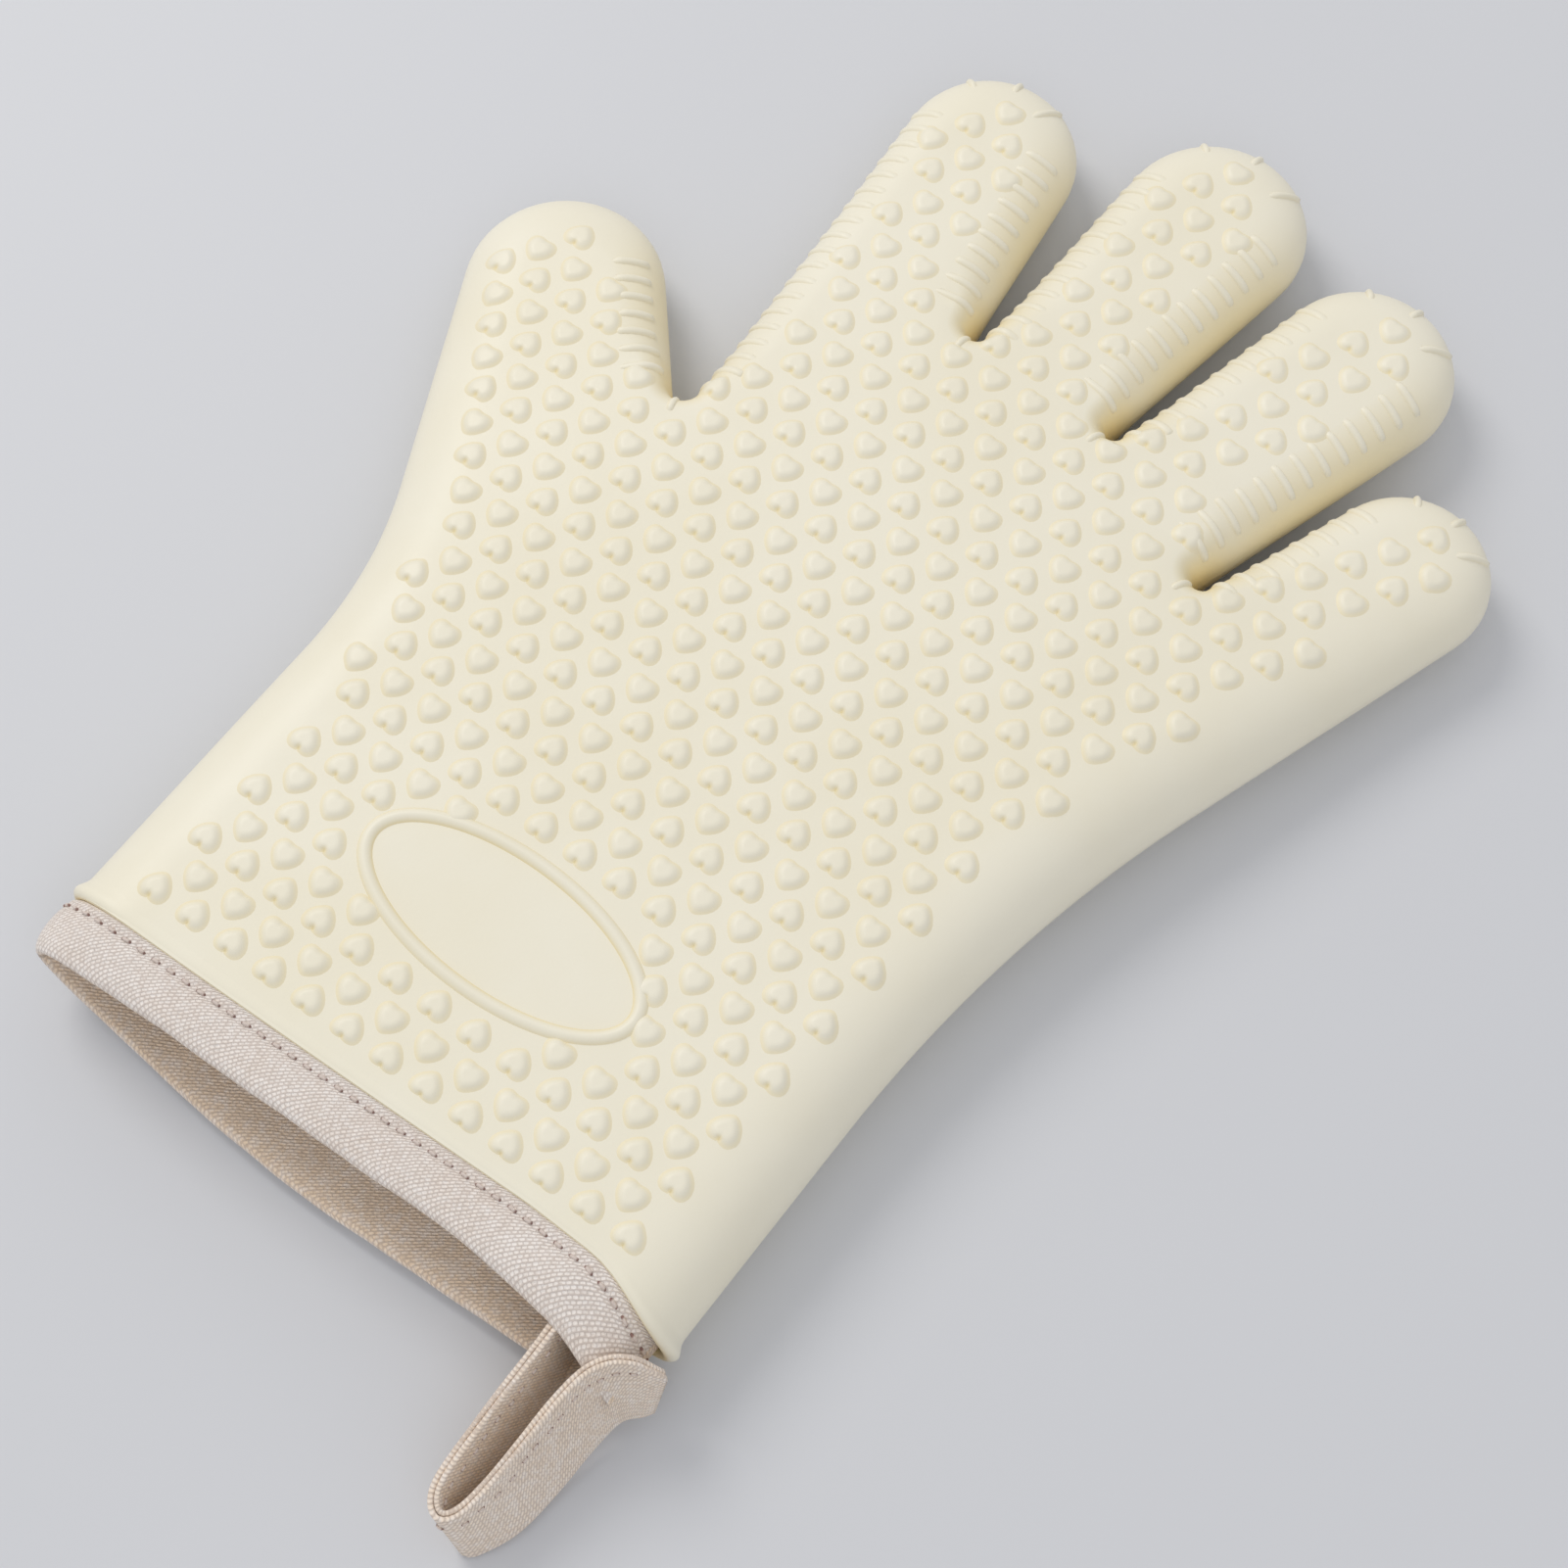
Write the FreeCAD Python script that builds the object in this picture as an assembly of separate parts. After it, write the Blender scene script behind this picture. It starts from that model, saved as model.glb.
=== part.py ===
import FreeCAD, Part
import math
import os

from FreeCAD import Vector

# Five-finger silicone oven glove with a cotton lining, lying flat, in millimetres.
# X runs across the hand (thumb at -X, little finger at +X), Y runs from the cuff to
# the fingertips and Z is up. The palm side is the upper face. While it is drawn,
# Y = 0 is the silicone edge at the cuff and Z = 0 is the surface that it lies on.

# ---- driving sizes -------------------------------------------------------------

CUFF_WIDTH = 142.3            # over the silicone at the cuff
GLOVE_THICKNESS = 26.5        # over the raised hearts of both faces
EDGE_ROUND = 11.0             # rounding of both faces into the sides
HEART_RISE = 1.0              # hearts, rim bead and oval frame above the bare silicone skin
SILICONE_WALL = 1.8

# Sides of the hand: straight from the cuff, then bending outwards.
THUMB_SIDE_STRAIGHT = 63.5
THUMB_SIDE_BEND = 92.0
LITTLE_SIDE_STRAIGHT = 52.0
LITTLE_SIDE_BEND = 290.0

# Fingers: centre of the round tip (across, along) and its radius.
TIPS = {
    "thumb": (-84.6, 160.5, 21.0),
    "index": (-34.2, 240.5, 18.8),
    "middle": (13.4, 254.5, 20.0),
    "ring": (57.4, 244.5, 19.0),
    "little": (89.4, 210.5, 17.5),
}

# Crotches between neighbouring fingers: centre of the small round and its radius.
CROTCHES = {
    ("thumb", "index"): (-47.3, 153.6, 2.3),
    ("index", "middle"): (-8.7, 200.6, 1.1),
    ("middle", "ring"): (26.5, 198.8, 1.2),
    ("ring", "little"): (59.5, 181.7, 1.2),
}

KNUCKLE_MARGIN = 1.0          # from a crotch to the knuckle line where the finger bends

# Heart grip on both faces. The solids carry every second row, with flat crowns.
HEART_HALF_WIDTH = 2.9
HEART_POINT = 3.1             # from the heart's middle to its point
HEART_LOBE = (1.7, 2.5)       # crown of a lobe: across and along
HEART_CLEFT = 1.5
HEART_SHOULDER = 0.3          # widest place, towards the cleft
HEART_PITCH = 9.2
FIRST_ROW = 9.3
ROW_PITCH = 6.5
ROW_GROWTH = 0.008            # the rows open out a little towards the fingertips
ROWS = 38
HEART_PHASE = 3.65            # first heart of a row right of the middle line
HEART_DRIFT = 0.04            # the columns lean a little towards the little finger
HEART_MARGIN = 10.5           # from the glove's sides to the middle of a heart
RELIEF_ROOT = 1.7             # depth of the relief's foot in the silicone wall

# Oval frame round the bare name place, and bead round the cuff edge.
OVAL_MIDDLE = (-1.0, 41.6)
OVAL_HALF = (32.3, 14.9)
OVAL_RIDGE = 2.6
RIM_RISE = 0.8
RIM_WIDTH = 3.4

LINING_FIT = 0.15             # lining and cuff band inside the silicone
LINING_PLY = 1.2
SEAM_LEVEL = GLOVE_THICKNESS / 2.0

# Cuff band: a folded cotton strip that laps the lining and shows beyond the silicone.
BAND_PLY = 0.7
BAND_SHOWN = 13.0
BAND_OUTER_TUCK = 4.0
BAND_INNER_TUCK = 8.0
BAND_FOLD = 1.5               # folded edge at the mouth
BAND_LAP_FIT = 0.1            # between the band's inner ply and the lining

STITCH_LENGTH = 2.3
STITCH_PITCH = 3.5
STITCH_WIDTH = 0.6
STITCH_HEIGHT = 0.35
STITCH_INSET = 2.6            # stitch row from the edge that it follows

# Hanging loop: a folded cotton tape standing on edge at the little-finger corner.
TAPE_MOUTH_FIT = 0.3          # tape inside the mouth, above and below
TAPE_THICKNESS = 2.2
LOOP_REACH = 46.0             # far end of the loop from the silicone edge
LOOP_INNER_INSET = 19.15      # strand that enters the mouth, from the cuff's side
LOOP_ROUND = 5.0              # middle radius of the far end
LOOP_MOUTH_TUCK = 4.0         # strand inside the mouth, past the silicone edge
LOOP_SHOULDER = 9.0           # radius of both bends where the loop goes round the corner
LOOP_SEAT = 0.15              # tape outside the band
LOOP_PIVOT_INSET = 10.15      # swinging point, from the cuff's side
LOOP_ROOT_RADIUS = 12.0       # the sewn ends stay still within this radius
LOOP_ROOT_GAP = 0.3

REST_POINT = 95.0             # origin of the finished part, along the hand from the cuff

# ---- worked out from the sizes above ---------------------------------------------

SILICONE_INSET = HEART_RISE + SILICONE_WALL
LINING_OUT = SILICONE_INSET + LINING_FIT
LINING_IN = LINING_OUT + LINING_PLY
BAND_INNER_OUT = LINING_IN + BAND_LAP_FIT
BAND_INNER_IN = BAND_INNER_OUT + BAND_PLY
TAPE_LIFT = BAND_INNER_IN + TAPE_MOUTH_FIT
TAPE_WIDTH = GLOVE_THICKNESS - 2 * TAPE_LIFT
LOOP_INNER_ACROSS = CUFF_WIDTH / 2.0 - LOOP_INNER_INSET
LOOP_OUTER_ACROSS = LOOP_INNER_ACROSS + 2 * LOOP_ROUND
LOOP_SEAT_ACROSS = CUFF_WIDTH / 2.0 - LINING_OUT + LOOP_SEAT + TAPE_THICKNESS / 2.0
LOOP_TURN_ALONG = -LOOP_REACH + TAPE_THICKNESS / 2.0 + LOOP_ROUND
BEYOND = 400.0                # larger than the glove, for cutting tools
SPARE = 30.0                  # length drawn past the cuff and cut off
SAME = 0.001                  # places closer than this are one place
FINGERS = list(TIPS)


def direction(angle):
    return Vector(math.cos(angle), math.sin(angle), 0)


def left_of(vector):
    return Vector(-vector.y, vector.x, 0)


def box(x0, x1, y0, y1, z0, z1):
    return Part.makeBox(x1 - x0, y1 - y0, z1 - z0, Vector(x0, y0, z0))


# ---- outline ---------------------------------------------------------------------

def outline_rounds(inset):
    """Rounds of the outline from the thumb side to the little-finger side.

    Each is (centre, signed radius): positive where the outline turns left, in
    the flares and crotches, and negative round the fingertips.
    """
    half = CUFF_WIDTH / 2.0
    rounds = [(Vector(-half - THUMB_SIDE_BEND, THUMB_SIDE_STRAIGHT, 0), THUMB_SIDE_BEND + inset)]
    for number, finger in enumerate(FINGERS):
        across, along, radius = TIPS[finger]
        rounds.append((Vector(across, along, 0), -(radius - inset)))
        if number + 1 < len(FINGERS):
            across, along, radius = CROTCHES[finger, FINGERS[number + 1]]
            rounds.append((Vector(across, along, 0), radius + inset))
    rounds.append((Vector(half + LITTLE_SIDE_BEND, LITTLE_SIDE_STRAIGHT, 0), LITTLE_SIDE_BEND + inset))
    return rounds


def tangent_angles(rounds):
    """Heading of the straight line that joins each round to the next."""
    angles = [math.pi / 2]
    for (centre, radius), (next_centre, next_radius) in zip(rounds, rounds[1:]):
        span = next_centre - centre
        turn = math.asin((next_radius - radius) / span.Length)
        angles.append(math.atan2(span.y, span.x) - turn)
    angles.append(-math.pi / 2)
    return angles


def turned_by(start, end, radius):
    """Change of heading along a round, of the same sign as its radius."""
    change = (end - start) % (2 * math.pi)
    return change if radius > 0 else change - 2 * math.pi


def outline_face(inset):
    """Plan of the glove, or of a layer lying inset from its outside."""
    rounds = outline_rounds(inset)
    angles = tangent_angles(rounds)
    half = CUFF_WIDTH / 2.0 - inset
    corner = Vector(-half, -SPARE, 0)
    edges = []
    last = corner
    for (centre, radius), start, end in zip(rounds, angles, angles[1:]):
        middle = start + turned_by(start, end, radius) / 2.0
        points = [centre - left_of(direction(angle)) * radius for angle in (start, middle, end)]
        edges.append(Part.LineSegment(last, points[0]).toShape())
        edges.append(Part.Arc(*points).toShape())
        last = points[2]
    edges.append(Part.LineSegment(last, Vector(half, -SPARE, 0)).toShape())
    edges.append(Part.LineSegment(Vector(half, -SPARE, 0), corner).toShape())
    return Part.Face(Part.Wire(edges))


def pillow(inset, low):
    """Solid glove shape lying inset inside the outside, its faces low inside the crowns."""
    face = outline_face(inset)
    face.translate(Vector(0, 0, low))
    solid = face.extrude(Vector(0, 0, GLOVE_THICKNESS - 2 * low))
    rim = [edge for edge in solid.Edges if is_face_edge(edge, low)]
    return solid.makeFillet(EDGE_ROUND - inset, rim)


def is_face_edge(edge, low):
    ends = edge.BoundBox
    level = ends.ZMax - ends.ZMin < SAME
    across_cuff = ends.YMax < -SPARE + SAME
    return level and not across_cuff and low - SAME < ends.ZMin < GLOVE_THICKNESS - low + SAME


# ---- where the fingers bend -------------------------------------------------------

def middle_heading(up, down):
    """Heading half way between one side, followed up, and another, followed down."""
    return direction((up + (down + math.pi) % (2 * math.pi)) / 2.0)


def finger_frames():
    """Heading of each finger and the knuckle line it bends about."""
    rounds = outline_rounds(0.0)
    angles = tangent_angles(rounds)
    frames = {}
    for number, finger in enumerate(FINGERS):
        heading = middle_heading(angles[2 * number + 1], angles[2 * number + 2])
        crotches = [CROTCHES[pair] for pair in CROTCHES if finger in pair]
        reach = max(Vector(x, y, 0).dot(heading) + radius for x, y, radius in crotches)
        tip = Vector(TIPS[finger][0], TIPS[finger][1], 0)
        knuckle = tip + heading * (reach + KNUCKLE_MARGIN - tip.dot(heading))
        frames[finger] = (knuckle, heading)
    return frames


def gap_heading(pair):
    """Heading of the gap between two fingers, up from their crotch."""
    angles = tangent_angles(outline_rounds(0.0))
    number = FINGERS.index(pair[0])
    return middle_heading(angles[2 * number + 3], angles[2 * number + 2])


def on_knuckle_line(point, heading, knuckle, axis):
    """Where the line from point along heading crosses a finger's knuckle line."""
    reach = (knuckle - point).dot(axis) / heading.dot(axis)
    return point + heading * reach


def finger_region(finger, frames):
    """Prism that holds one finger beyond its knuckle line and nothing else."""
    knuckle, heading = frames[finger]
    across = left_of(heading) * -1
    number = FINGERS.index(finger)
    sides = []
    for step, outward in ((-1, across * -1), (1, across)):
        other = number + step
        if 0 <= other < len(FINGERS):
            pair = tuple(sorted((finger, FINGERS[other]), key=FINGERS.index))
            crotch = Vector(CROTCHES[pair][0], CROTCHES[pair][1], 0)
            along = gap_heading(pair)
            start = on_knuckle_line(crotch, along, knuckle, heading)
        else:
            along = heading
            start = knuckle + outward * (CUFF_WIDTH / 2.0)
        sides.append((start, start + along * CUFF_WIDTH))
    (left_low, left_high), (right_low, right_high) = sides
    plan = Part.Face(Part.makePolygon([left_low, left_high, right_high, right_low, left_low]))
    return plan.extrude(Vector(0, 0, GLOVE_THICKNESS))


def split_at_knuckles(shape, regions):
    """The hand and each finger of one layer, as a dictionary of shapes."""
    pieces = {finger: shape.common(region) for finger, region in regions.items()}
    hand = shape
    for region in regions.values():
        hand = hand.cut(region)
    pieces["hand"] = hand
    return pieces


# ---- layers of the glove ------------------------------------------------------------

def beyond_line(start):
    return box(-BEYOND, BEYOND, start, BEYOND, -BEYOND, BEYOND)


def on_both_faces(plan):
    """Relief of one plan raised from the silicone wall to the crowns of both faces."""
    tall = HEART_RISE + RELIEF_ROOT
    back = plan.extrude(Vector(0, 0, tall))
    return [back, back.translated(Vector(0, 0, GLOVE_THICKNESS - tall))]


def heart_plan(across, along):
    """Heart with its cleft towards the fingertips and its point towards the cuff."""
    def place(x, y):
        return Vector(across + x, along + y, 0)

    cleft, point = place(0, HEART_CLEFT), place(0, -HEART_POINT)
    edges = []
    for side in (-1, 1):
        lobe = place(side * HEART_LOBE[0], HEART_LOBE[1])
        shoulder = place(side * HEART_HALF_WIDTH, HEART_SHOULDER)
        edges.append(Part.Arc(cleft, lobe, shoulder).toShape())
        edges.append(Part.LineSegment(shoulder, point).toShape())
    return Part.Face(Part.Wire(Part.__sortEdges__(edges)))


def ellipse_face(half_width, half_length):
    ellipse = Part.Ellipse(Vector(OVAL_MIDDLE[0], OVAL_MIDDLE[1], 0), half_width, half_length)
    return Part.Face(Part.Wire(ellipse.toShape()))


def heart_places():
    """Middles of the hearts that fit inside the sides and outside the oval frame."""
    field = outline_face(HEART_MARGIN)
    frame = ellipse_face(OVAL_HALF[0] + HEART_HALF_WIDTH, OVAL_HALF[1] + HEART_HALF_WIDTH)
    columns = int(CUFF_WIDTH / HEART_PITCH)
    places = []
    for row in range(1, ROWS, 2):
        along = FIRST_ROW + ROW_PITCH * row + ROW_GROWTH * row * row
        first = HEART_PHASE + HEART_DRIFT * (along - FIRST_ROW)
        for column in range(-columns, columns):
            middle = Vector(first + HEART_PITCH * column, along, 0)
            if field.isInside(middle, SAME, True) and not frame.isInside(middle, SAME, True):
                places.append(middle)
    return places


def make_rim():
    """Bead round the cuff edge, open inside like the silicone itself."""
    half = CUFF_WIDTH / 2.0 + RIM_RISE
    low = HEART_RISE - RIM_RISE
    block = box(-half, half, 0, RIM_WIDTH, low, GLOVE_THICKNESS - low)
    long_edges = [edge for edge in block.Edges if edge.BoundBox.YLength > RIM_WIDTH - SAME]
    return block.makeFillet(EDGE_ROUND, long_edges).cut(cuff_plug(SILICONE_INSET, 0, RIM_WIDTH))


def make_silicone():
    """Silicone skin with its bead, oval frames and hearts on both faces."""
    skin = pillow(0.0, HEART_RISE).cut(pillow(SILICONE_INSET, SILICONE_INSET))
    outer = ellipse_face(*OVAL_HALF)
    inner = ellipse_face(OVAL_HALF[0] - OVAL_RIDGE, OVAL_HALF[1] - OVAL_RIDGE)
    relief = [make_rim()] + on_both_faces(outer.cut(inner))
    for middle in heart_places():
        relief += on_both_faces(heart_plan(middle.x, middle.y))
    return skin.common(beyond_line(0.0)).multiFuse(relief)


def make_lining():
    ply = pillow(LINING_OUT, LINING_OUT).cut(pillow(LINING_IN, LINING_IN))
    return ply.common(beyond_line(BAND_OUTER_TUCK + LINING_FIT))


def lining_side(shape, palm_side):
    low, high = (SEAM_LEVEL, BEYOND) if palm_side else (-BEYOND, SEAM_LEVEL)
    return shape.common(box(-BEYOND, BEYOND, -BEYOND, BEYOND, low, high))


# ---- cuff band ----------------------------------------------------------------------

def cuff_plug(inset, start, end):
    """Straight plug of the cuff's section, lying inset inside the silicone's outside."""
    half = CUFF_WIDTH / 2.0 - inset
    block = box(-half, half, start, end, inset, GLOVE_THICKNESS - inset)
    long_edges = [edge for edge in block.Edges if edge.BoundBox.YLength > end - start - SAME]
    return block.makeFillet(EDGE_ROUND - inset, long_edges)


def cuff_ring(outer, inner, start, end):
    return cuff_plug(outer, start, end).cut(cuff_plug(inner, start, end))


def make_cuff_band():
    mouth = -BAND_SHOWN
    outer_ply = cuff_ring(LINING_OUT, LINING_OUT + BAND_PLY, mouth, BAND_OUTER_TUCK)
    inner_ply = cuff_ring(BAND_INNER_OUT, BAND_INNER_IN, mouth, BAND_INNER_TUCK)
    fold = cuff_ring(LINING_OUT, BAND_INNER_IN, mouth, mouth + BAND_FOLD)
    return outer_ply.multiFuse([inner_ply, fold]).removeSplitter()


def make_cuff_stitches():
    """Row of stitches on both faces of the band, just outside the silicone."""
    flat = CUFF_WIDTH / 2.0 - EDGE_ROUND
    count = int(2 * flat / STITCH_PITCH)
    first = -(count - 1) * STITCH_PITCH / 2.0
    stitches = []
    for number in range(count):
        left = first + number * STITCH_PITCH - STITCH_LENGTH / 2.0
        row = -STITCH_INSET - STITCH_WIDTH / 2.0
        for level in (LINING_OUT - STITCH_HEIGHT, GLOVE_THICKNESS - LINING_OUT):
            place = Vector(left, row, level)
            stitches.append(Part.makeBox(STITCH_LENGTH, STITCH_WIDTH, STITCH_HEIGHT, place))
    return Part.makeCompound(stitches)


# ---- hanging loop ---------------------------------------------------------------------

def loop_shoulder():
    """Turn of each bend where the loop goes round the corner, and half their length."""
    turn = math.acos(1 - (LOOP_SEAT_ACROSS - LOOP_OUTER_ACROSS) / (2 * LOOP_SHOULDER))
    return turn, LOOP_SHOULDER * math.sin(turn)


def loop_route():
    """Middle line of the tape in plan, from inside the mouth round to the outer corner."""
    inner = LOOP_INNER_ACROSS
    outer = LOOP_OUTER_ACROSS
    turn_at = LOOP_TURN_ALONG
    seat = LOOP_SEAT_ACROSS
    shoulder_turn, half_rise = loop_shoulder()
    shoulder_top = -BAND_SHOWN - LOOP_SEAT
    shoulder_low = shoulder_top - 2 * half_rise
    lean = shoulder_turn / 2.0

    def bend(centre, angle):
        return centre + direction(angle) * LOOP_SHOULDER

    low_centre = Vector(outer + LOOP_SHOULDER, shoulder_low, 0)
    high_centre = Vector(seat - LOOP_SHOULDER, shoulder_top, 0)
    middle = Vector((outer + seat) / 2.0, shoulder_low + half_rise, 0)
    far_left = Vector(inner, turn_at, 0)
    far_right = Vector(outer, turn_at, 0)
    far_end = Vector(inner + LOOP_ROUND, turn_at - LOOP_ROUND, 0)
    return [
        Part.LineSegment(Vector(inner, LOOP_MOUTH_TUCK, 0), far_left),
        Part.Arc(far_left, far_end, far_right),
        Part.LineSegment(far_right, Vector(outer, shoulder_low, 0)),
        Part.Arc(Vector(outer, shoulder_low, 0), bend(low_centre, math.pi - lean), middle),
        Part.Arc(middle, bend(high_centre, -lean), Vector(seat, shoulder_top, 0)),
        Part.LineSegment(Vector(seat, shoulder_top, 0), Vector(seat, -LOOP_SEAT, 0)),
    ]


def make_tape():
    """Whole tape: its middle line thickened in plan and raised to the tape's width."""
    route = Part.Wire([curve.toShape() for curve in loop_route()])
    sides = []
    for piece in route.Edges:
        sides.append(thick_piece(piece))
    plan = sides[0].multiFuse(sides[1:]).removeSplitter()
    return plan.extrude(Vector(0, 0, TAPE_WIDTH)).translated(Vector(0, 0, TAPE_LIFT))


def thick_piece(edge):
    """Plan of one straight or round stretch of the tape."""
    half = TAPE_THICKNESS / 2.0
    inner = [offset_point(edge, share, -half) for share in (0, 0.5, 1)]
    outer = [offset_point(edge, share, half) for share in (0, 0.5, 1)]
    if isinstance(edge.Curve, Part.Line):
        corners = [inner[0], inner[2], outer[2], outer[0], inner[0]]
        return Part.Face(Part.makePolygon(corners))
    return Part.Face(Part.Wire([
        Part.Arc(*inner).toShape(),
        Part.LineSegment(inner[2], outer[2]).toShape(),
        Part.Arc(*reversed(outer)).toShape(),
        Part.LineSegment(outer[0], inner[0]).toShape(),
    ]))


def offset_point(edge, share, distance):
    value = edge.FirstParameter + share * (edge.LastParameter - edge.FirstParameter)
    return edge.valueAt(value) + left_of(edge.tangentAt(value).normalize()) * distance


def loop_pivot():
    return Vector(CUFF_WIDTH / 2.0 - LOOP_PIVOT_INSET, -BAND_SHOWN, 0)


def make_loop_pieces():
    """Free loop, and the two ends that are sewn to the cuff."""
    tape = make_tape()
    tall = 3 * TAPE_WIDTH
    low = loop_pivot() - Vector(0, 0, TAPE_WIDTH)
    corner = box(-BEYOND, BEYOND, -BAND_SHOWN - LOOP_SEAT, BEYOND, -TAPE_WIDTH, tall)
    inside = Part.makeCylinder(LOOP_ROOT_RADIUS, tall, low).fuse(corner)
    cleared = Part.makeCylinder(LOOP_ROOT_RADIUS + LOOP_ROOT_GAP, tall, low).fuse(corner)
    return tape.cut(cleared), tape.common(inside)


def make_loop_stitches():
    """Stitches near the tape's upper edge, on the outside of both straight strands."""
    half = TAPE_THICKNESS / 2.0
    level = TAPE_LIFT + TAPE_WIDTH - STITCH_INSET
    straight = -BAND_SHOWN - LOOP_SEAT - 2 * loop_shoulder()[1] - LOOP_TURN_ALONG
    spare = straight - STITCH_LENGTH
    count = int(spare / STITCH_PITCH) + 1
    first = LOOP_TURN_ALONG + (spare - (count - 1) * STITCH_PITCH) / 2.0
    stitches = []
    for number in range(count):
        along = first + number * STITCH_PITCH
        for across in (LOOP_INNER_ACROSS - half - STITCH_HEIGHT, LOOP_OUTER_ACROSS + half):
            place = Vector(across, along, level)
            stitches.append(Part.makeBox(STITCH_HEIGHT, STITCH_LENGTH, STITCH_WIDTH, place))
    return Part.makeCompound(stitches)


# ---- the whole glove ---------------------------------------------------------------------

def make_all():
    frames = finger_frames()
    regions = {finger: finger_region(finger, frames) for finger in FINGERS}
    nodes = {}
    for place, shape in split_at_knuckles(make_silicone(), regions).items():
        nodes["glove_" + place] = shape
    for place, shape in split_at_knuckles(make_lining(), regions).items():
        nodes["lining_palm_" + place] = lining_side(shape, True)
        nodes["lining_back_" + place] = lining_side(shape, False)
    nodes["cuff_band"] = make_cuff_band()
    nodes["cuff_stitches"] = make_cuff_stitches()
    nodes["hanging_loop"], nodes["loop_ends"] = make_loop_pieces()
    nodes["loop_stitches"] = make_loop_stitches()
    return nodes


def print_joints():
    """Joint places and headings of the finished part, in millimetres."""
    for finger, (knuckle, heading) in finger_frames().items():
        place = knuckle + Vector(0, -REST_POINT, GLOVE_THICKNESS)
        axis = left_of(heading) * -1
        print(finger, [round(value, 3) for value in place], [round(value, 5) for value in axis])
    print("loop", [round(value, 3) for value in loop_pivot() + Vector(0, -REST_POINT, 0)])


def main():
    os.makedirs("parts", exist_ok=True)
    to_origin = Vector(0, -REST_POINT, 0)
    for name, shape in make_all().items():
        shape.translated(to_origin).exportStep(os.path.join("parts", name + ".step"))
    print_joints()


main()
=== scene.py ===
import math

import bmesh
import bpy
import numpy as np
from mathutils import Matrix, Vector
from mathutils.geometry import delaunay_2d_cdt


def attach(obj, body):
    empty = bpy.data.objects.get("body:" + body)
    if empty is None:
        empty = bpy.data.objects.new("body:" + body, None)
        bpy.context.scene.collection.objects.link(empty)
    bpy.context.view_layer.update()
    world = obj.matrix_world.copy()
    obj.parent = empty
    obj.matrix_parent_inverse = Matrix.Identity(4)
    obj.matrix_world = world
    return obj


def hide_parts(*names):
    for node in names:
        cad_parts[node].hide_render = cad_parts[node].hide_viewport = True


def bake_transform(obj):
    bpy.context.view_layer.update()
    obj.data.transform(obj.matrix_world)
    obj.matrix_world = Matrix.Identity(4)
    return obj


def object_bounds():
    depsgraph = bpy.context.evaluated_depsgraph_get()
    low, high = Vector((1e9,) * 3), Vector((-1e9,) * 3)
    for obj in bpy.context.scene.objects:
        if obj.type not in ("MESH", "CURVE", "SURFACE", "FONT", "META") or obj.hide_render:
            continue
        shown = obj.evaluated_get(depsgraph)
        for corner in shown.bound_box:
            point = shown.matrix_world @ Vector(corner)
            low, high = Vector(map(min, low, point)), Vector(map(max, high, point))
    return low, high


# Five-finger silicone oven glove with a sewn cotton cuff band and hanging loop.
# Sizes are in millimetres in the maker's drawing frame: X across the hand, Y from the
# silicone edge at the cuff to the fingertips, and heights from the glove's middle plane.

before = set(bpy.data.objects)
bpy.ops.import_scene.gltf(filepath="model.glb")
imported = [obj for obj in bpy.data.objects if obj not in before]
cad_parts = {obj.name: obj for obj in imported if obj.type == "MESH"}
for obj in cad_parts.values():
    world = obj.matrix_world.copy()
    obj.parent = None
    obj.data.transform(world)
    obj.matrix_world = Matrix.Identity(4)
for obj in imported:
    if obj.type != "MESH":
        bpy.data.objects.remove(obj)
cad_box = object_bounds()

# ---- sizes that the glove is made to ----

MM = 0.001
REST_POINT = 95.0             # the frame's origin, along the hand from the silicone edge
CUFF_WIDTH = 142.3
THICKNESS = (cad_box[1][2] - cad_box[0][2]) / MM
MIDDLE = THICKNESS / 2.0      # middle plane above the surface that the glove lies on
HEART_RISE = 1.0
SKIN_HALF = MIDDLE - HEART_RISE   # middle plane to the bare skin

THUMB_SIDE_STRAIGHT = 63.5
THUMB_SIDE_BEND = 92.0
LITTLE_SIDE_STRAIGHT = 52.0
LITTLE_SIDE_BEND = 290.0
# Middle and radius of each fingertip's round, and of the round between two fingers.
TIPS = {
    "thumb": (-84.6, 160.5, 21.0),
    "index": (-34.2, 240.5, 18.8),
    "middle": (13.4, 254.5, 20.0),
    "ring": (57.4, 244.5, 19.0),
    "little": (89.4, 210.5, 17.5),
}
CROTCHES = {
    ("thumb", "index"): (-47.3, 153.6, 2.3),
    ("index", "middle"): (-8.7, 200.6, 1.1),
    ("middle", "ring"): (26.5, 198.8, 1.2),
    ("ring", "little"): (59.5, 181.7, 1.2),
}
FINGERS = list(TIPS)
PARTS = ["hand"] + FINGERS
KNUCKLE_MARGIN = 1.0
KNUCKLE_CUT = (12.0, 60.0)    # only faces this near the knuckle line, and its middle, are cut

# Rolls: how far the faces take to round over into the sides.
OUTER_ROLL = 15.0
TIP_ROLL = 12.5
INNER_ROLL = 10.0
CROTCH_ROLL_SHARE = 0.5
CROTCH_REACH = 16.0
ROLL_SPREAD = 5.0             # length round the outline over which one roll eases to the next
MARGIN_SPREAD = 2.5
SHADE_SPREAD = 9.0
GAP_SHADE = 0.75              # how much painted shade the sides between two fingers get

# How finely the layers are divided: round the outline, then up the roll and over the flat.
SKIN_STEP = 2.2
SKIN_FINENESS = (9, 3.2)
LINING_STEP = 3.0
LINING_FINENESS = (6, 4.5)

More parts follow.
